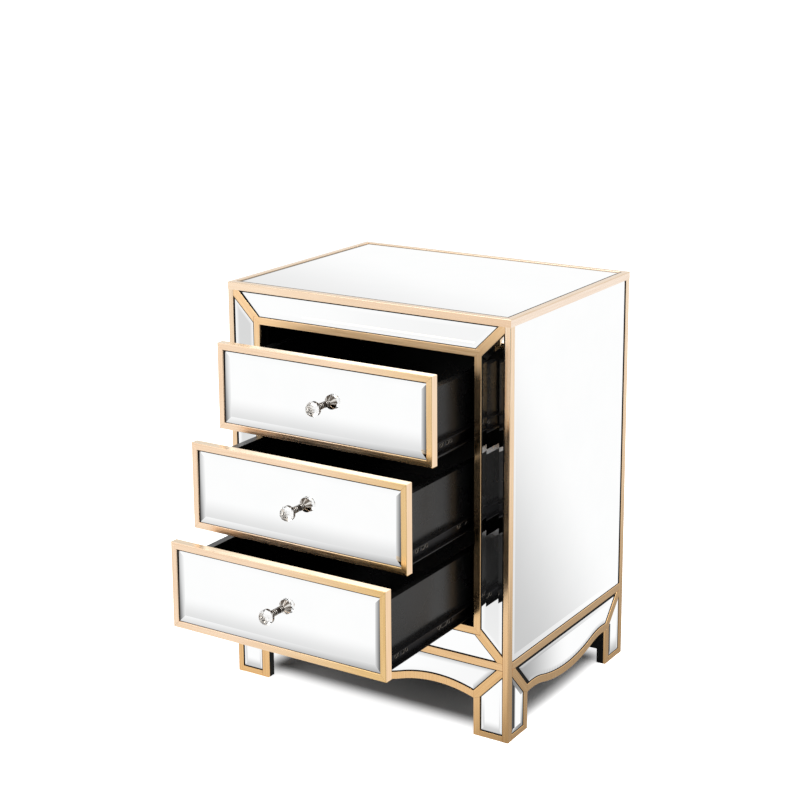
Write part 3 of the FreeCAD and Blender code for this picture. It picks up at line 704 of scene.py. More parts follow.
class Face(Enum):
    """Face that an outline is laid on: the directions of u, v and the outward depth."""

    FRONT = ((1, 0, 0), (0, 0, 1), (0, -1, 0))
    RIGHT = ((0, 1, 0), (0, 0, 1), (1, 0, 0))
    LEFT = ((0, 1, 0), (0, 0, 1), (-1, 0, 0))
    TOP = ((1, 0, 0), (0, 1, 0), (0, 0, 1))

    def lay(self, patch: Patch, origin: Triple) -> Patch:
        """Lay a patch on the face, turning its polygons where the face is a mirror image.

        Args:
            patch: Patch in u, v and depth, in millimetres.
            origin: Where u, v and depth are zero, in millimetres.

        Returns:
            The patch in the object's frame, in millimetres.
        """
        axes = np.array(self.value, float)
        points = np.array(origin) + patch.points @ axes
        turn = slice(None, None, -1 if np.linalg.det(axes) < 0 else 1)
        polygons = [polygon[turn] for polygon in patch.polygons]
        return Patch(points, polygons, [mark[turn] for mark in patch.marks], patch.finishes)


SIDES = (Face.RIGHT, Face.LEFT)


@dataclass(frozen=True)
class Piece:
    """A dressed piece: what it is made of, what it rides on and which CAD node it stands for."""

    name: str
    finishes: tuple[Finish, ...]
    body: str
    slot: str
    stands_for: tuple[str, ...] = ()

    def add(self, patches: list[Patch]) -> None:
        """Make the piece's mesh and put it in the scene.

        Args:
            patches: Parts of the mesh, in millimetres in the object's frame.
        """
        smooth = MIRROR not in self.finishes
        starts = np.cumsum([0] + [len(patch.points) for patch in patches[:-1]])
        points = np.concatenate([patch.points for patch in patches]) * MM
        marks = np.concatenate([mark for patch in patches for mark in patch.marks])
        polygons = [polygon + start for patch, start in zip(patches, starts) for polygon in patch.polygons]
        corners = np.concatenate(polygons).astype(np.int32)
        counts = np.array([len(polygon) for polygon in polygons], np.int32)
        mesh = bpy.data.meshes.new(self.name)
        mesh.vertices.add(len(points))
        mesh.vertices.foreach_set("co", points.astype(np.float32).ravel())
        mesh.loops.add(len(corners))
        mesh.loops.foreach_set("vertex_index", corners)
        mesh.polygons.add(len(counts))
        mesh.polygons.foreach_set("loop_start", np.cumsum(counts, dtype=np.int32) - counts)
        mesh.update(calc_edges=True)
        mesh.uv_layers.new(name=SURFACE_MAP)
        mesh.uv_layers[SURFACE_MAP].data.foreach_set("uv", marks.astype(np.float32).ravel())
        mesh.set_sharp_from_angle(angle=SMOOTH_ANGLE)
        mesh.polygons.foreach_set("use_smooth", np.full(len(counts), smooth))
        for finish in self.finishes:
            mesh.materials.append(finish.material())
        numbers = [np.zeros(len(patch.polygons), int) if patch.finishes is None else patch.finishes
                   for patch in patches]
        mesh.polygons.foreach_set("material_index", np.concatenate(numbers).astype(np.int32))
        made = bpy.data.objects.new(self.name, mesh)
        bpy.context.scene.collection.objects.link(made)
        if smooth:
            made.modifiers.new("even_normals", "WEIGHTED_NORMAL").keep_sharp = True
        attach(made, self.body)
        if self.stands_for:
            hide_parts(*self.stands_for)
        LOG.info("%s: %d faces, rides on %s", self.name, len(counts), self.body)


@dataclass(frozen=True)
class CaseSizes:
    """Sizes of the case in millimetres, as the CAD has them, then the edges that follow from them."""

    half: float = 250.0
    depth: float = 386.0
    height: float = 645.0
    front_y: float = -63.35
    trim: float = 4.0
    shell: float = 16.0
    post_face: float = 10.0
    post_return: float = 12.0
    border_width: float = 10.0
    border_height: float = 12.0
    opening_half: float = 190.5
    opening_top: float = 583.5
    opening_bottom: float = 172.5
    opening_trim: float = 11.5
    waist: float = 118.5
    waist_trim: float = 12.0
    apron_trim: float = 12.0
    apron_end: float = 59.0
    foot_trim: float = 11.5
    foot_toe: float = 9.5
    foot_return: float = 60.0
    mitre_reach: float = 9.6
    post_edge: float = half - post_face
    side_end: float = depth - post_return
    border_bottom: float = height - border_height
    waist_top: float = waist + waist_trim / 2
    waist_bottom: float = waist - waist_trim / 2
    apron_top: float = apron_end + apron_trim
    trim_half: float = opening_half + opening_trim
    trim_top: float = opening_top + opening_trim
    trim_bottom: float = opening_bottom - opening_trim
    front_foot: float = post_edge - opening_half
    side_foot: float = foot_return - post_return

    def origin(self, face: Face) -> Triple:
        """Where a face's u, v and depth are zero."""
        sideways = {Face.RIGHT: self.half, Face.LEFT: -self.half}.get(face, 0.0)
        return sideways, self.front_y, self.height if face is Face.TOP else 0.0

    def face_mitres(self) -> tuple[list[Pair], list[Pair]]:
        """Corners of the diagonal bars on the right of the face.

        Returns:
            Six corners of the upper bar, then of the lower one.
        """
        reach, inner, outer = self.mitre_reach, self.trim_half, self.post_edge
        top, bottom = self.border_bottom, self.waist_top
        upper = [(outer, top), (outer - reach, top), (inner - reach, self.trim_top), (inner, self.trim_top),
                 (inner, self.trim_top - reach), (outer, top - reach)]
        lower = [(outer, bottom), (outer, bottom + reach), (inner, self.trim_bottom + reach),
                 (inner, self.trim_bottom), (inner - reach, self.trim_bottom), (outer - reach, bottom)]
        return upper, lower

    def foot_mitre(self, reach: float) -> list[Pair]:
        """Corners of the diagonal bar on a foot.

        Args:
            reach: Width of the foot's face from its free edge to its post.

        Returns:
            Six corners, with u from the free edge to the post.
        """
        top, mitre = self.waist_bottom, self.mitre_reach
        slope = (top - self.apron_end - self.apron_trim) / (reach - mitre)
        low = top - mitre - slope * (reach - self.foot_trim)
        return [(0, self.apron_end), (self.foot_trim, low), (reach, top - mitre), (reach, top), (reach - mitre, top),
                (0, self.apron_top)]


def mitred_bars(outer: np.ndarray, bar: float, outer_edge: float, inner_edge: float, joint: float) -> list[Strip]:
    """Four mitred bars inside a rectangle.

    Args:
        outer: Corners of the rectangle.
        bar: Width of a bar.
        outer_edge: Rounding of the outer edges.
        inner_edge: Rounding of the inner edges.
        joint: Rounding at the mitres.

    Returns:
        The bottom, right, top and left bars.
    """
    inner = outer + bar * np.array([(1, 1), (-1, 1), (-1, -1), (1, -1)])
    bars = np.stack([outer, np.roll(outer, -1, axis=0), np.roll(inner, -1, axis=0), inner], axis=1)
    return [Strip(outline, np.array([outer_edge, joint, inner_edge, joint])) for outline in bars]


@dataclass(frozen=True)
class Apron:
    """Scalloped lower edge of an apron, hung from the waist."""

    centre: float
    half_span: float
    join_share: float
    drops: tuple[float, float, float, float]
    arc_steps: int = 18

    def line(self, waist: float) -> np.ndarray:
        """Three arcs, through end, arch and join, then join, centre and join, and back.

        Args:
            waist: Height of the waist that they hang from.

        Returns:
            Points from left to right.
        """
        end, arch, join, low = (waist - drop for drop in self.drops)
        inner = self.half_span * self.join_share
        middle = (self.half_span + inner) / 2
        left = arc_through((-self.half_span, end), (-middle, arch), (-inner, join), self.arc_steps)
        belly = arc_through((-inner, join), (0, low), (inner, join), self.arc_steps)
        return np.concatenate([left, belly[1:-1], left[::-1] * (-1, 1)]) + (self.centre, 0)


FRONT_APRON = Apron(0.0, CaseSizes.opening_half, join_share=0.315, drops=(59.5, 49.3, 60.0, 69.5))
SIDE_APRON = Apron(CaseSizes.depth / 2, CaseSizes.depth / 2 - CaseSizes.foot_return, join_share=0.6,
                   drops=(59.5, 59.1, 64.5, 75.5))


@dataclass(frozen=True)
class CaseMirrors:
    """Mirrors of the case in the fields between the gold mouldings."""

    sizes: CaseSizes = CaseSizes()
    fascia_lean: float = 1.0
    foot_bevel: float = 5.5
    front_foot_recess: float = 2.0
    front_foot_liner: float = 1.0
    side_foot_recess: float = 1.3
    rear_foot_liner: tuple[float, ...] = (0.6, 0.4, 0.6, 2.6)
    near_foot_liner: tuple[float, ...] = (0.8, 0.6, 0.8, 1.3)

    def add(self, name: str, stands_for: str, mirrors: list[tuple[Face, BevelledMirror]]) -> None:
        """Add a set of mirrors and their liners.

        Args:
            name: Name of the glass piece.
            stands_for: CAD node that the glass stands for.
            mirrors: Mirrors with the faces they lie on.
        """
        glass = [face.lay(mirror.glass(), self.sizes.origin(face)) for face, mirror in mirrors]
        liners = [face.lay(mirror.black_liner(), self.sizes.origin(face)) for face, mirror in mirrors]
        Piece(name, (MIRROR, GLASS_EDGE), "carcass", "mirror_glass", (stands_for,)).add(glass)
        Piece(f"{name}_liners", (BLACK,), "carcass", "case_board").add(liners)

    def apron(self, apron: Apron, top_half: float) -> np.ndarray:
        """Outline between an apron's curved strip, the diagonal bars and the waist.

        Args:
            apron: The apron's line.
            top_half: Half of the length along the waist.

        Returns:
            The outline.
        """
        lower = apron.line(self.sizes.waist) + (0, self.sizes.apron_trim)
        top = self.sizes.waist_bottom
        return np.concatenate([lower, [(apron.centre + top_half, top), (apron.centre - top_half, top)]])

    def foot(self, reach: float) -> np.ndarray:
        """Outline on a foot's face of a width, with u from its free edge to its post."""
        s = self.sizes
        return np.array([(s.foot_trim, s.foot_toe), (reach, s.foot_toe), *s.foot_mitre(reach)[2:0:-1]])

    def feet(self, tones: dict[str, PaintedShade]) -> list[tuple[Face, BevelledMirror]]:
        """Mirrors of the feet on the front and on both sides.

        Args:
            tones: Painted shade for each panel.

        Returns:
            Mirrors with the faces they lie on.
        """
        s = self.sizes
        flip = np.array((-1, 1))
        front = self.foot(s.front_foot) + (s.opening_half, 0)
        side = self.foot(s.side_foot)
        rear = side + (s.depth - s.foot_return, 0)
        near = side[::-1] * flip + (s.foot_return, 0)
        feet = [(Face.FRONT, outline, name, self.front_foot_recess, self.front_foot_liner)
                for outline, name in ((front, "right_foot"), (front[::-1] * flip, "left_foot"))]
        feet += [(face, outline, name, self.side_foot_recess, liner) for face in SIDES
                 for outline, name, liner in ((rear, "rear_foot", self.rear_foot_liner),
                                              (near, "near_foot", self.near_foot_liner))]
        return [(face, BevelledMirror(outline, tones[name], recess, liner=liner, bevel=self.foot_bevel))
                for face, outline, name, recess, liner in feet]

    def build(self) -> None:
        """Add every mirror of the case."""
        s = self.sizes
        inside = s.border_width
        top = rectangle(-s.half + inside, s.half - inside, inside, s.depth - inside)
        side = rectangle(s.post_return, s.side_end, s.waist_top, s.border_bottom)
        flip = np.array((-1, 1))
        # The corners of these fields are where the long edges of the diagonal bars end
        above, below = map(np.array, s.face_mitres())
        stile = np.concatenate([below[2:0:-1], above[5:3:-1]])
        upper = np.concatenate([above[2:3] * flip, above[2:0:-1], above[1:2] * flip])
        lower = np.concatenate([below[5:6] * flip, below[5:3:-1], below[4:5] * flip])
        side_apron = self.apron(SIDE_APRON, s.depth / 2 - s.post_return - s.mitre_reach)
        front_apron = self.apron(FRONT_APRON, s.post_edge - s.mitre_reach)
        scallops = len(front_apron) - 3
        tones = self.painted_shades(scallops)
        self.add("top_glass", "top_mirror", [(Face.TOP, BevelledMirror(
            top, tones["top"], recess=1.6, liner=(1.4, 1.4, 0.0, 0.0), liner_recess=0.05, bevel=5.2, prism_deg=0.0))])
        self.add("side_glass", "side_mirrors", [
            (face, BevelledMirror(side, tones["side"], bevel=9.0, liner=(0.5, 2.3, 0.3, 0.1))) for face in SIDES])
        self.add("fascia_glass", "fascia_mirrors", [
            (Face.FRONT, BevelledMirror(upper, tones["upper_fascia"], liner=(1.0, 1.2, 2.0, 1.6),
                                        lean=self.fascia_lean)),
            (Face.FRONT, BevelledMirror(lower))])
        self.add("stile_glass", "stile_mirrors", [
            (Face.FRONT, BevelledMirror(outline, tones["stile"], liner=(1.3, 1.9, 1.3, 1.3)))
            for outline in (stile, stile[::-1] * flip)])
        self.add("front_apron_glass", "apron_mirror_front", [
            (Face.FRONT, BevelledMirror(front_apron, tones["front_apron"]))])
        self.add("side_apron_glass", "apron_mirrors_side", [
            (face, BevelledMirror(side_apron, tones["side_apron"], liner=(0.9,) * scallops + (0.9, 4.4, 6.0)))
            for face in SIDES])
        self.add("foot_glass", "foot_mirrors", self.feet(tones))

    def painted_shades(self, scallops: int) -> dict[str, PaintedShade]:
        """Painted shade of the case's mirrors: a little grey painted low down and towards the front, and painted shade
        on the bevels, standing in for the shaded floor and room that they reflect.

        Args:
            scallops: Number of short edges along an apron's curve.

        Returns:
            A painted shade for each panel that is not plain white.
        """
        white = (1.0, 1.0)
        dark = (0.06, 0.06)
        as_face = (np.nan, np.nan)
        return {
            "top": PaintedShade((-28, -75), (71, 187), 0.76, ((0.76, 0.92), (0.92, 1.0), dark, dark),
                          (as_face, as_face, dark, dark)),
            "side": PaintedShade((83, 56), (315, 213), 0.57, ((0.7, 1.12), white, white, (1.0, 0.8)),
                           ((0.7, 1.12), white, white, (1.0, 0.7))),
            "upper_fascia": PaintedShade((150, 598), (-150, 624), 0.93, 0.98),
            "stile": PaintedShade((0, 640), (0, -260), 0.7, 1.0),
            "front_apron": PaintedShade((190, 60), (60, 100), 0.95, ((0.95, 0.95),) * scallops
                                  + ((0.5, 0.5), (0.62, 0.66), (0.9, 0.9))),
            "side_apron": PaintedShade((30, 80), (200, 88), 0.33, ((0.5, 0.7),) * scallops
                                 + ((0.95, 0.95), (1.0, 0.62), (0.3, 0.3))),
            "right_foot": PaintedShade((220, 10), (220, 28), 0.55, ((0.6, 0.6), white, white, (0.97, 0.97))),
            "left_foot": PaintedShade((-220, 10), (-220, 28), 0.55, (white, white, (0.6, 0.6), (0.97, 0.97))),
            "near_foot": PaintedShade((21.0, 40), (26, 40), 0.0, ((0.35, 0.2), (0.0, 0.0), (0.35, 0.3), (0.3, 1.0)),
                                ((0.45, 0.2), as_face, (0.9, 0.25), (0.35, 1.0))),
            "rear_foot": PaintedShade((350, 10), (350, 40), 0.5, ((0.4, 0.5), (0.85, 0.85), white, (0.02, 0.02)),
                                (as_face, as_face, as_face, (0.08, 0.08))),
        }


@dataclass(frozen=True)
class GoldTrim:
    """Gold mouldings of the case, each bar with softened edges and hairline joints."""

    sizes: CaseSizes = CaseSizes()
    edge: float = 0.9
    corner: float = 1.6
    joint: float = 0.1
    post_rounding: float = 1e-3
    border_walls: tuple[int, ...] = (1, 2, 1, 2)

    def add(self, name: str, stands_for: str, patches: list[Patch], *finishes: Finish) -> None:
        """Add a piece of the case's trim, champagne gold where no finish is given."""
        Piece(name, finishes or (GOLD,), "carcass", "gold_trim", (stands_for,)).add(patches)

    def laid(self, strips: list[Strip], *faces: Face) -> list[Patch]:
        """Bars as deep as the trim over strips, laid on each face."""
        return [face.lay(strip.solid(-self.sizes.trim, 0.0), self.sizes.origin(face))
                for face in faces for strip in strips]

    def strip(self, points: list[Pair], edges: str) -> Strip:
        """Strip with a softened edge where its letter is e, and a hairline joint where it is j."""
        rounding = {"e": self.edge, "j": self.joint}
        return Strip(np.array(points), np.array([rounding[letter] for letter in edges]))

    def posts(self) -> list[Patch]:
        """Corner posts: a rebated section with its outer corner and arrises rounded, carried up the chest.

        Returns:
            The right posts, front and rear, then the left ones.
        """
        s, edge, corner = self.sizes, self.edge, self.corner
        rebate, inside, rear = s.half - s.trim, s.half - s.shell, s.depth - s.shell
        front_section = np.concatenate([
            [(s.post_edge, s.trim)],
            rounded_corner((s.post_edge + edge, edge), edge, 180),
            rounded_corner((s.half - corner, corner), corner, 270),
            rounded_corner((s.half - edge, s.post_return - edge), edge, 0),
            [(rebate, s.post_return), (rebate, s.shell), (inside, s.shell), (inside, s.trim)],
        ])
        rear_section = np.concatenate([
            [(inside, rear), (rebate, rear), (rebate, s.side_end)],
            rounded_corner((s.half - edge, s.side_end + edge), edge, 270),
            rounded_corner((s.half - corner, s.depth - corner), corner, 0),
            rounded_corner((inside + edge, s.depth - edge), edge, 90),
        ])
        strips = [Strip(outline, np.full(len(outline), self.post_rounding), Run.DEPTH)
                  for outline in (front_section, rear_section)]
        strips += [strip.flipped() for strip in strips]
        return [Face.TOP.lay(strip.solid(-s.height, -s.border_height), s.origin(Face.TOP)) for strip in strips]

    def border(self) -> list[Patch]:
        """Mitred border of the top.

        Returns:
            Its bars, each with a finish of its own on the outside: copies of the gold with painted light and shade.
        """
        s = self.sizes
        bars = mitred_bars(rectangle(-s.half, s.half, 0, s.depth), s.border_width, self.corner, self.edge, self.joint)
        return [Face.TOP.lay(bar.solid(-s.border_height, 0, wall=wall), s.origin(Face.TOP))
                for bar, wall in zip(bars, self.border_walls)]

    def opening(self) -> list[Patch]:
        """Mitred trim round the drawer opening.

        Returns:
            Its bars.
        """
        s, edge = self.sizes, self.edge
        outer = rectangle(-s.trim_half, s.trim_half, s.trim_bottom, s.trim_top)
        return self.laid(mitred_bars(outer, s.opening_trim, edge, edge, self.joint), Face.FRONT)

    def diagonal(self, points: list[Pair]) -> Strip:
        """Six-cornered diagonal bar, given with its two long edges second and fifth."""
        return self.strip(points, "jejjej")

    def foot_strips(self, reach: float) -> list[Strip]:
        """Strips of a foot's face, with u from its free edge to its post.

        Args:
            reach: Width of the face from the free edge to the post.

        Returns:
            The upright and toe strips and the diagonal bar.
        """
        s = self.sizes
        mitre = s.foot_mitre(reach)
        return [self.strip([(0, 0), (s.foot_trim, 0), mitre[1], mitre[0]], "eeje"),
                self.strip(rectangle(s.foot_trim, reach, 0, s.foot_toe), "ejej"), self.diagonal(mitre)]

    def feet(self) -> tuple[list[Patch], list[Patch]]:
        """Strips and diagonal bars of all the feet.

        Returns:
            Patches of the strips, then of the diagonal bars.
        """
        s = self.sizes
        front = [strip.moved(s.opening_half) for strip in self.foot_strips(s.front_foot)]
        front += [strip.flipped() for strip in front]
        side = self.foot_strips(s.side_foot)
        side_all = [strip.moved(s.depth - s.foot_return) for strip in side]
        side_all += [strip.flipped().moved(s.foot_return) for strip in side]
        parts = [self.laid([strip], Face.FRONT) for strip in front] + [self.laid([strip], *SIDES) for strip in side_all]
        strips = [patch for upright, toe in zip(parts[::3], parts[1::3]) for patch in upright + toe]
        return strips, [patch for bar in parts[2::3] for patch in bar]

    def waist(self) -> list[Patch]:
        """Rails round the waist.

        Returns:
            The front rail, then the side rails.
        """
        s = self.sizes
        front, side = (self.strip(rectangle(u0, u1, s.waist_bottom, s.waist_top), "ejej")
                       for u0, u1 in ((-s.post_edge, s.post_edge), (s.post_return, s.side_end)))
        return self.laid([front], Face.FRONT) + self.laid([side], *SIDES)

    def scallop(self, apron: Apron) -> Strip:
        """Band along an apron's lower edge.

        Args:
            apron: The apron's line.

        Returns:
            The band's strip.
        """
        lower = apron.line(self.sizes.waist)
        upper = lower[::-1] + (0, self.sizes.apron_trim)
        softened = "e" * (len(lower) - 1) + "j"
        return self.strip(np.concatenate([lower, upper]), 2 * softened)

    def aprons(self) -> list[Patch]:
        """Curved strips of the front and side aprons."""
        return self.laid([self.scallop(FRONT_APRON)], Face.FRONT) + self.laid([self.scallop(SIDE_APRON)], *SIDES)

    def build(self) -> None:
        """Add every gold moulding of the case."""
        feet, foot_bars = self.feet()
        mitres = [self.diagonal(corners) for corners in self.sizes.face_mitres()]
        mitres = self.laid(mitres + [strip.flipped() for strip in mitres], Face.FRONT)
        self.add("posts_gold", "corner_posts", self.posts())
        self.add("top_border_gold", "top_border", self.border(), GOLD_TOP, GOLD_FASCIA, GOLD_SIDE)
        self.add("opening_gold", "opening_trim", self.opening(), GOLD_OPENING)
        self.add("diagonals_gold", "mitre_trim", mitres + foot_bars, GOLD_OPENING)
        self.add("waist_gold", "waist_trim", self.waist())
        self.add("apron_edges_gold", "apron_trim", self.aprons())
        self.add("foot_strips_gold", "foot_trim", feet)


@dataclass(frozen=True)
class Drawer:
    """Dressed pieces of one drawer: its gold front frame, its mirror, its turned knob stem and its rails' slots."""

    name: str
    drawn: float
    level: float
    front_y: float = CaseSizes.front_y
    half_width: float = 187.0
    front_height: float = 132.0
    thickness: float = 14.0
    frame: float = 10.0
    outer_edge: float = 0.7
    inner_edge: float = 0.8
    joint: float = 0.1
    back_edge: float = 0.6
    edge_leans: tuple[float, ...] = (0.0, 0.5, 0.0, 0.5)
    edge_walls: tuple[int, ...] = (0, 1, 2, 1)
    glass_recess: float = 2.5
    glass_lean: float = 1.8
    # Painted shade on the mirror: grey at grey_rise above the frame's foot, white from white_rise
    grey: float = 0.77
    grey_rise: float = 17.0
    white_rise: float = 52.0
    knob_drop: float = 3.5
    stem_sides: int = 48
    stem_reach: float = 15.69
    flange: tuple[Pair, ...] = ((POLE_RADIUS, -2.2), (4.6, -2.2), (4.8, 0.2), (4.8, 0.8), (4.4, 1.2), (3.6, 1.4))
    cup: tuple[Pair, ...] = ((3.4, -6.2), (4.2, -5.2), (9.4, -1.4), (10.5, -0.6), (10.8, -0.3), (10.8, -0.04),
                             (POLE_RADIUS, 0.0))
    neck_radius: float = 3.3
    neck_start: float = 1.5
    neck_end: float = 6.3
    ribs: int = 3
    rib_rise: float = 1.7
    rib_steps: int = 20
    groove_radius: float = 4.85
    web_half: float = 175.2
    web_rise: float = 20.0
    slot_radius: float = 2.4
    slot_rim: tuple[Pair, ...] = ((1.1, -0.3), (1.1, 0.0), (0.8, 0.28), (0.4, 0.32), (0.0, 0.05))
    slot_groups: tuple[float, ...] = (56.0, 170.0, 284.0)
    slot_holes: tuple[Pair, ...] = ((-13.0, 0.0), (0.0, 5.0), (14.0, 0.0))

    def on_front(self, patch: Patch, recess: float = 0.0, height: float = 0.0) -> Patch:
        """A patch laid on the drawn front."""
        return Face.FRONT.lay(patch, (0, self.front_y - self.drawn + recess, height))

    def front_frame(self) -> list[Patch]:
        """Four mitred bars of the front's frame.

        Returns:
            The bars, those left and right with a paler, mirror-smooth outside painted for the light it catches, and the
            upper one with a pale ridge painted for the light from above.
        """
        outer = rectangle(-self.half_width, self.half_width, self.level, self.level + self.front_height)
        bars = mitred_bars(outer, self.frame, self.outer_edge, self.inner_edge, self.joint)
        return [self.on_front(bar.solid(-self.thickness, 0, self.back_edge, lean, wall))
                for bar, lean, wall in zip(bars, self.edge_leans, self.edge_walls)]

    def mirror(self) -> BevelledMirror:
        """Bevelled mirror inside the frame, with painted shade: greyer low down and on its bevels.

        Returns:
            The mirror.
        """
        bar, half = self.frame, self.half_width
        field = rectangle(-half + bar, half - bar, self.level + bar, self.level + self.front_height - bar)
        painted_shade = PaintedShade((0, self.level + self.grey_rise), (0, self.level + self.white_rise), self.grey,
                        ((0.75, 0.42), (0.0, 0.05), (0.96, 0.98), (0.56, 0.08)),
                        ((0.97, 0.74), (0.72, 0.72), (1.0, 1.0), (1.0, 0.85)))
        return BevelledMirror(field, painted_shade, self.glass_recess, back=6.0, liner=(0.4, 0.5, 1.9, 0.6),
                              liner_recess=2.4, bevel=9.5, prism_deg=6.5, lean=self.glass_lean)

    def stem(self) -> Patch:
        """Turned stem: a small flange painted dark and three round ribs with grooves painted dark, as painted shade,
        and the cup under the crystal.

        The neck's radius is the bare neck's plus a half wave for each rib.

        Returns:
            The stem, its grooves with the second finish.
        """
        tip = self.stem_reach + self.glass_recess
        wave = np.linspace(0, self.ribs, self.ribs * self.rib_steps + 1)
        height = self.neck_start + (tip - self.neck_start - self.neck_end) * wave / self.ribs
        neck = np.stack([self.neck_radius + self.rib_rise * np.abs(np.sin(np.pi * wave)), height], axis=1)
        profile = np.concatenate([self.flange, neck, np.array(self.cup) + (0, tip)])
        middle = (profile[1:] + profile[:-1]) / 2
        # Painted shade: the flange and the grooves between the ribs take the dark finish
        groove = (middle[:, 1] < tip - self.neck_end) & (middle[:, 0] < self.groove_radius)
        finishes = np.concatenate([np.repeat(groove, self.stem_sides), [False, False]]).astype(int)
        turned = replace(revolved(profile, self.stem_sides), finishes=finishes)
        return self.on_front(turned, self.glass_recess, self.level + self.front_height / 2 - self.knob_drop)

    def rail_slot(self, place: float, half_length: float, steps: int = 12) -> Patch:
        """Slot pressed in a rail's web: a raised rim round a black hole.

        Its outline is two half circles: a point at angle a lies at radius r from the nearer end of the slot.

        Args:
            place: Distance of its middle behind the drawer's face.
            half_length: Half of its straight part.
            steps: Steps of each half circle.

        Returns:
            The slot in u, v and depth.
        """
        half = np.linspace(-90, 90, steps + 1)
        turn = np.radians(np.concatenate([half, half + 180]))
        end = np.repeat([half_length, -half_length], steps + 1)
        rim = np.array(self.slot_rim)
        radius = self.slot_radius + rim[:, :1]
        flat = np.stack([place + end + radius * np.cos(turn), radius * np.sin(turn)], axis=-1)
        points, polygons = closed(at_depth(flat, rim[:, 1:]))
        finishes = np.zeros(len(polygons), int)
        finishes[-2] = 1
        return Patch.mapped(points, polygons, points[:, :2] * MM, finishes)

    def rail_slots(self) -> list[Patch]:
        """Groups of slots on the outer web of both rails.

        Returns:
            The slots on the right, then those on the left.
        """
        shapes = [self.rail_slot(group + shift, length) for group in self.slot_groups
                  for shift, length in self.slot_holes]
        place = self.front_y - self.drawn, self.level + self.web_rise
        return [face.lay(shape, (across, *place)) for face, across in zip(SIDES, (self.web_half, -self.web_half))
                for shape in shapes]

    def build(self) -> None:
        """Add the drawer's dressed pieces."""
        body = f"drawer_{self.name}"
        mirror = self.mirror()
        for part, slot, stands_for, patches, *finishes in (
                ("frame_gold", "gold_frame", "front_frame", self.front_frame(), GOLD_FRAME, GOLD_EDGE, GOLD_RIDGE),
                ("stem_nickel", "knob_chrome", "knob_stem", [self.stem()], NICKEL, NICKEL_GROOVE),
                ("rail_slots", "slide_steel", "", self.rail_slots(), GREY_RIM_ZINC, BLACK),
                ("glass", "mirror_glass", "front_mirror", [self.on_front(mirror.glass())], MIRROR, GLASS_EDGE),
                ("liner", "drawer_board", "", [self.on_front(mirror.black_liner())], BLACK)):
            nodes = (f"{body}_{stands_for}",) if stands_for else ()
            Piece(f"{body}_{part}", tuple(finishes), body, slot, nodes).add(patches)


@dataclass(frozen=True)
class CadDressing:
    """Finishes of the CAD nodes that show as they are."""

    nodes: dict[str, bpy.types.Object]

    def finish_of(self, name: str) -> Finish:
        """Finish of a node, by the words in its name."""
        words = {"screws": BLACK_ZINC, "cages": ZINC, "channels": SLIDE, "rails": SLIDE, "mirror": MIRROR,
                 "crystal": CRYSTAL, "stem": NICKEL, "box": FOILED, "board": BLACK, "panels": BLACK, "rail": BLACK}
        return next((finish for word, finish in words.items() if word in name), GOLD)

    def build(self) -> None:
        """Give each node its finish."""
        for name, shown in self.nodes.items():
            finish = self.finish_of(name)
            shown.data.materials.clear()
            shown.data.materials.append(finish.material())
            LOG.info("%s: %s", name, finish.name)


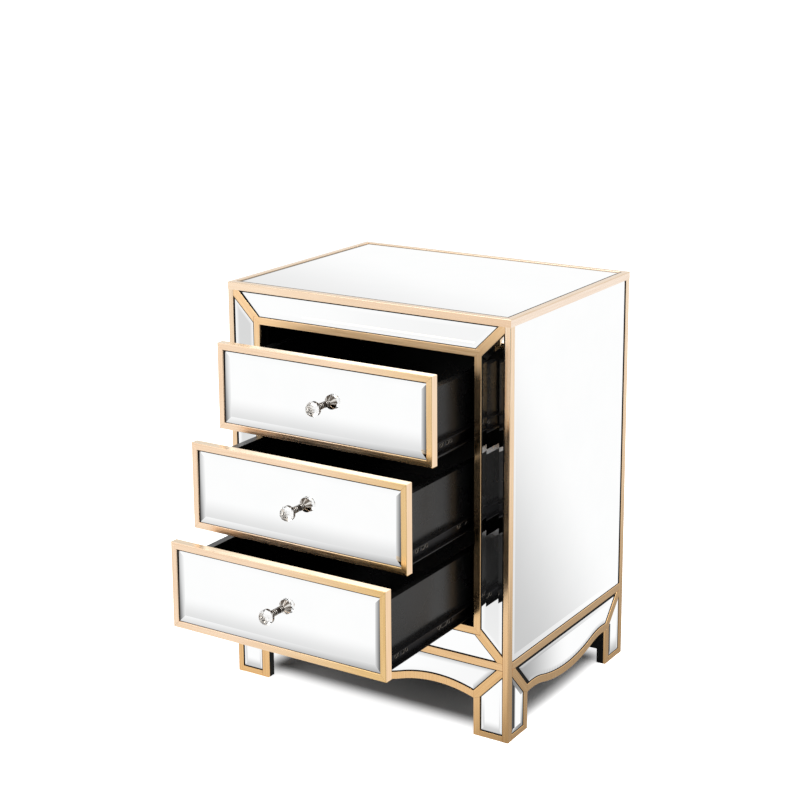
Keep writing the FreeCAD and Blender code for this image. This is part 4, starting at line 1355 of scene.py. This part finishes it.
@dataclass(frozen=True)
class Studio:
    """White studio: floor, world, soft lamps and the photograph's camera."""

    white: str = "#FFFFFF"
    floor_half_m: float = 60.0
    floor_colour: str = "#F2F2F2"
    world_fill: float = 0.4
    near_glow: float = 0.9
    near_reach_m: float = 0.045
    foot_half_m: Triple = (0.2015, 0.138, 1.0)
    foot_centre_m: Triple = (0.0035, 0.13, 0.0)
    beside_painted_shade: float = 0.5
    beside_rise_m: Pair = (0.1, 0.26)
    beside_fall_m: Pair = (0.25, 0.85)
    ahead_painted_shade: float = 0.85
    ahead_x_m: Pair = (0.3, 0.5)
    ahead_slant_m: Pair = (-0.05, 0.15)
    slant: Triple = (-1.1, -1.0, 0.0)
    lamps: tuple[tuple[str, Triple, float, float], ...] = (
        ("key_lamp", (0.5, 0.1, 2.8), 2.4, 80.0), ("side_lamp", (2.4, 0.2, 1.4), 1.6, 8.0),
        ("front_lamp", (-1.0, -2.4, 1.8), 1.6, 14.0))
    aim_m: Triple = (0.0, 0.1, 0.35)
    focal_px: float = 1748.3
    frame_px: float = 800.0
    sensor_mm: float = 36.0
    centre_px: Pair = (440.0, 308.0)
    eye_m: Triple = (1.4024, -2.1440, 1.2084)
    forward: Triple = (-0.5074, 0.83206, -0.2241)
    right: Triple = (0.85396, 0.52033, -0.00156)

    def shiny_ray(self, tree: Tree) -> Socket:
        """One for glossy and transmitted rays, and zero for the others."""
        rays = [node(tree, "LightPath", out=ray) for ray in ("Is Glossy Ray", "Is Transmission Ray")]
        return node(tree, "Math", dict(enumerate(rays)), operation="MAXIMUM")

    def world(self) -> None:
        """White backdrop for what is seen, and a plain fill for what is lit."""
        world = bpy.data.worlds.new("studio_world")
        bpy.context.scene.world = world
        world.use_nodes = True
        tree = world.node_tree
        tree.nodes.clear()
        direct = node(tree, "LightPath", out="Is Camera Ray")
        seen = node(tree, "Math", {0: direct, 1: self.shiny_ray(tree)}, operation="MAXIMUM")
        backdrop, fill = (node(tree, "Background", {"Color": linear(self.white), "Strength": strength})
                          for strength in (1.0, self.world_fill))
        mixed = node(tree, "MixShader", {0: seen, 1: fill, 2: backdrop})
        node(tree, "OutputWorld", {"Surface": mixed})

    def seen_by_satin(self, tree: Tree, place: Socket) -> Socket:
        """Level of the floor as satin metal and foil show it, with painted shade: dimmer beside the chest and in front
        of its right side.

        Args:
            tree: Node tree of the floor.
            place: Place on the floor.

        Returns:
            One less the two fields of painted shade.
        """
        across = node(tree, "SeparateXYZ", {"Vector": place}, "X")
        slant = node(tree, "VectorMath", {0: place, 1: self.slant}, "Value", operation="DOT_PRODUCT")
        rise, fall = (0.0, 1.0), (1.0, 0.0)
        fields = (self.beside_painted_shade, (across, *self.beside_rise_m, *rise), (across, *self.beside_fall_m, *fall)), (
            self.ahead_painted_shade, (across, *self.ahead_x_m, *rise), (slant, *self.ahead_slant_m, *rise))
        level = 1.0
        for dim, *edges in fields:
            steps = [node(tree, "MapRange", dict(enumerate(edge)), interpolation_type="SMOOTHSTEP") for edge in edges]
            field = node(tree, "Math", dict(enumerate(steps)), operation="MULTIPLY")
            dimmed = node(tree, "Math", {0: field, 1: dim}, operation="MULTIPLY")
            level = node(tree, "Math", {0: level, 1: dimmed}, operation="SUBTRACT", use_clamp=True)
        return level

    def near_chest(self, tree: Tree, place: Socket) -> Socket:
        """Painted light: glow of the floor as the camera sees it, which grows with the distance from the chest's
        footprint, so that the shade shows only close to it.

        The distance is the length of the larger of zero and |place - centre| - half.

        Args:
            tree: Node tree of the floor.
            place: Place on the floor.

        Returns:
            The glow's strength.
        """
        away = place
        for operation, other in (("SUBTRACT", self.foot_centre_m), ("ABSOLUTE", (0, 0, 0)),
                                 ("SUBTRACT", self.foot_half_m), ("MAXIMUM", (0, 0, 0))):
            away = node(tree, "VectorMath", {0: away, 1: other}, operation=operation)
        distance = node(tree, "VectorMath", {0: away}, "Value", operation="LENGTH")
        return node(tree, "MapRange", {"Value": distance, "From Max": self.near_reach_m, "To Max": self.near_glow},
                    interpolation_type="SMOOTHSTEP")

    def floor(self) -> None:
        """Pale floor that keeps the chest's shadow, with a little painted glow where it is seen, and a painted level
        where shiny rays see it.
        """
        reach = self.floor_half_m
        corners = at_depth(rectangle(-reach, reach, -reach, reach), np.zeros(1))
        mesh = bpy.data.meshes.new("floor")
        mesh.from_pydata(corners.tolist(), [], [(0, 1, 2, 3)])
        paint = bpy.data.materials.new("floor_paint")
        paint.use_nodes = True
        tree = paint.node_tree
        tree.nodes.clear()
        pale = node(tree, "BsdfDiffuse", {"Color": linear(self.floor_colour)})
        place = node(tree, "TexCoord", out="Object")
        camera, sharp = (node(tree, "LightPath", out=ray) for ray in ("Is Camera Ray", "Is Singular Ray"))
        direct = node(tree, "Math", {0: camera, 1: self.near_chest(tree, place)}, operation="MULTIPLY")
        level = node(tree, "Math", {0: sharp, 1: self.seen_by_satin(tree, place)}, operation="MAXIMUM")
        glow, shown = (node(tree, "Emission", {"Color": linear(self.white), "Strength": strength})
                       for strength in (direct, level))
        plain = node(tree, "AddShader", {0: pale, 1: glow})
        both = node(tree, "MixShader", {0: self.shiny_ray(tree), 1: plain, 2: shown})
        node(tree, "OutputMaterial", {"Surface": both})
        mesh.materials.append(paint)
        made = bpy.data.objects.new("floor", mesh)
        bpy.context.scene.collection.objects.link(made)

    def lamp(self, name: str, place: Triple, size: float, power: float) -> None:
        """Square soft lamp that looks at the middle of the chest.

        Args:
            name: Lamp name.
            place: Position in metres.
            size: Side of the square in metres.
            power: Watts.
        """
        light = bpy.data.lights.new(name, "AREA")
        light.size = size
        light.energy = power
        made = bpy.data.objects.new(name, light)
        made.location = place
        made.rotation_euler = (Vector(place) - Vector(self.aim_m)).to_track_quat("Z", "Y").to_euler()
        made.visible_camera = False
        bpy.context.scene.collection.objects.link(made)

    def camera(self) -> None:
        """Camera at the photograph's viewing angle."""
        data = bpy.data.cameras.new("photo_camera")
        data.sensor_width = self.sensor_mm
        data.lens = self.focal_px / self.frame_px * self.sensor_mm
        data.shift_x = 0.5 - self.centre_px[0] / self.frame_px
        data.shift_y = self.centre_px[1] / self.frame_px - 0.5
        forward = Vector(self.forward).normalized()
        right = Vector(self.right).normalized()
        up = right.cross(forward)
        made = bpy.data.objects.new("photo_camera", data)
        turn = Matrix((right, up, -forward)).transposed().to_4x4()
        made.matrix_world = Matrix.Translation(self.eye_m) @ turn
        bpy.context.scene.collection.objects.link(made)
        bpy.context.scene.camera = made

    def build(self) -> None:
        """Add the whole studio."""
        self.world()
        self.floor()
        for lamp in self.lamps:
            self.lamp(*lamp)
        self.camera()
        bpy.context.scene.view_settings.view_transform = "Standard"


def main() -> None:
    """Load the frame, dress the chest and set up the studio."""
    logging.basicConfig(level=logging.INFO, format="%(message)s")
    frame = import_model()
    CadDressing(frame["nodes"]).build()
    GoldTrim().build()
    CaseMirrors().build()
    for name, drawn, level in (("bottom", 230.0, 174.0), ("middle", 175.5, 310.5), ("top", 109.0, 447.0)):
        Drawer(name, drawn, level).build()
    Studio().build()


if __name__ == "__main__":
    main()
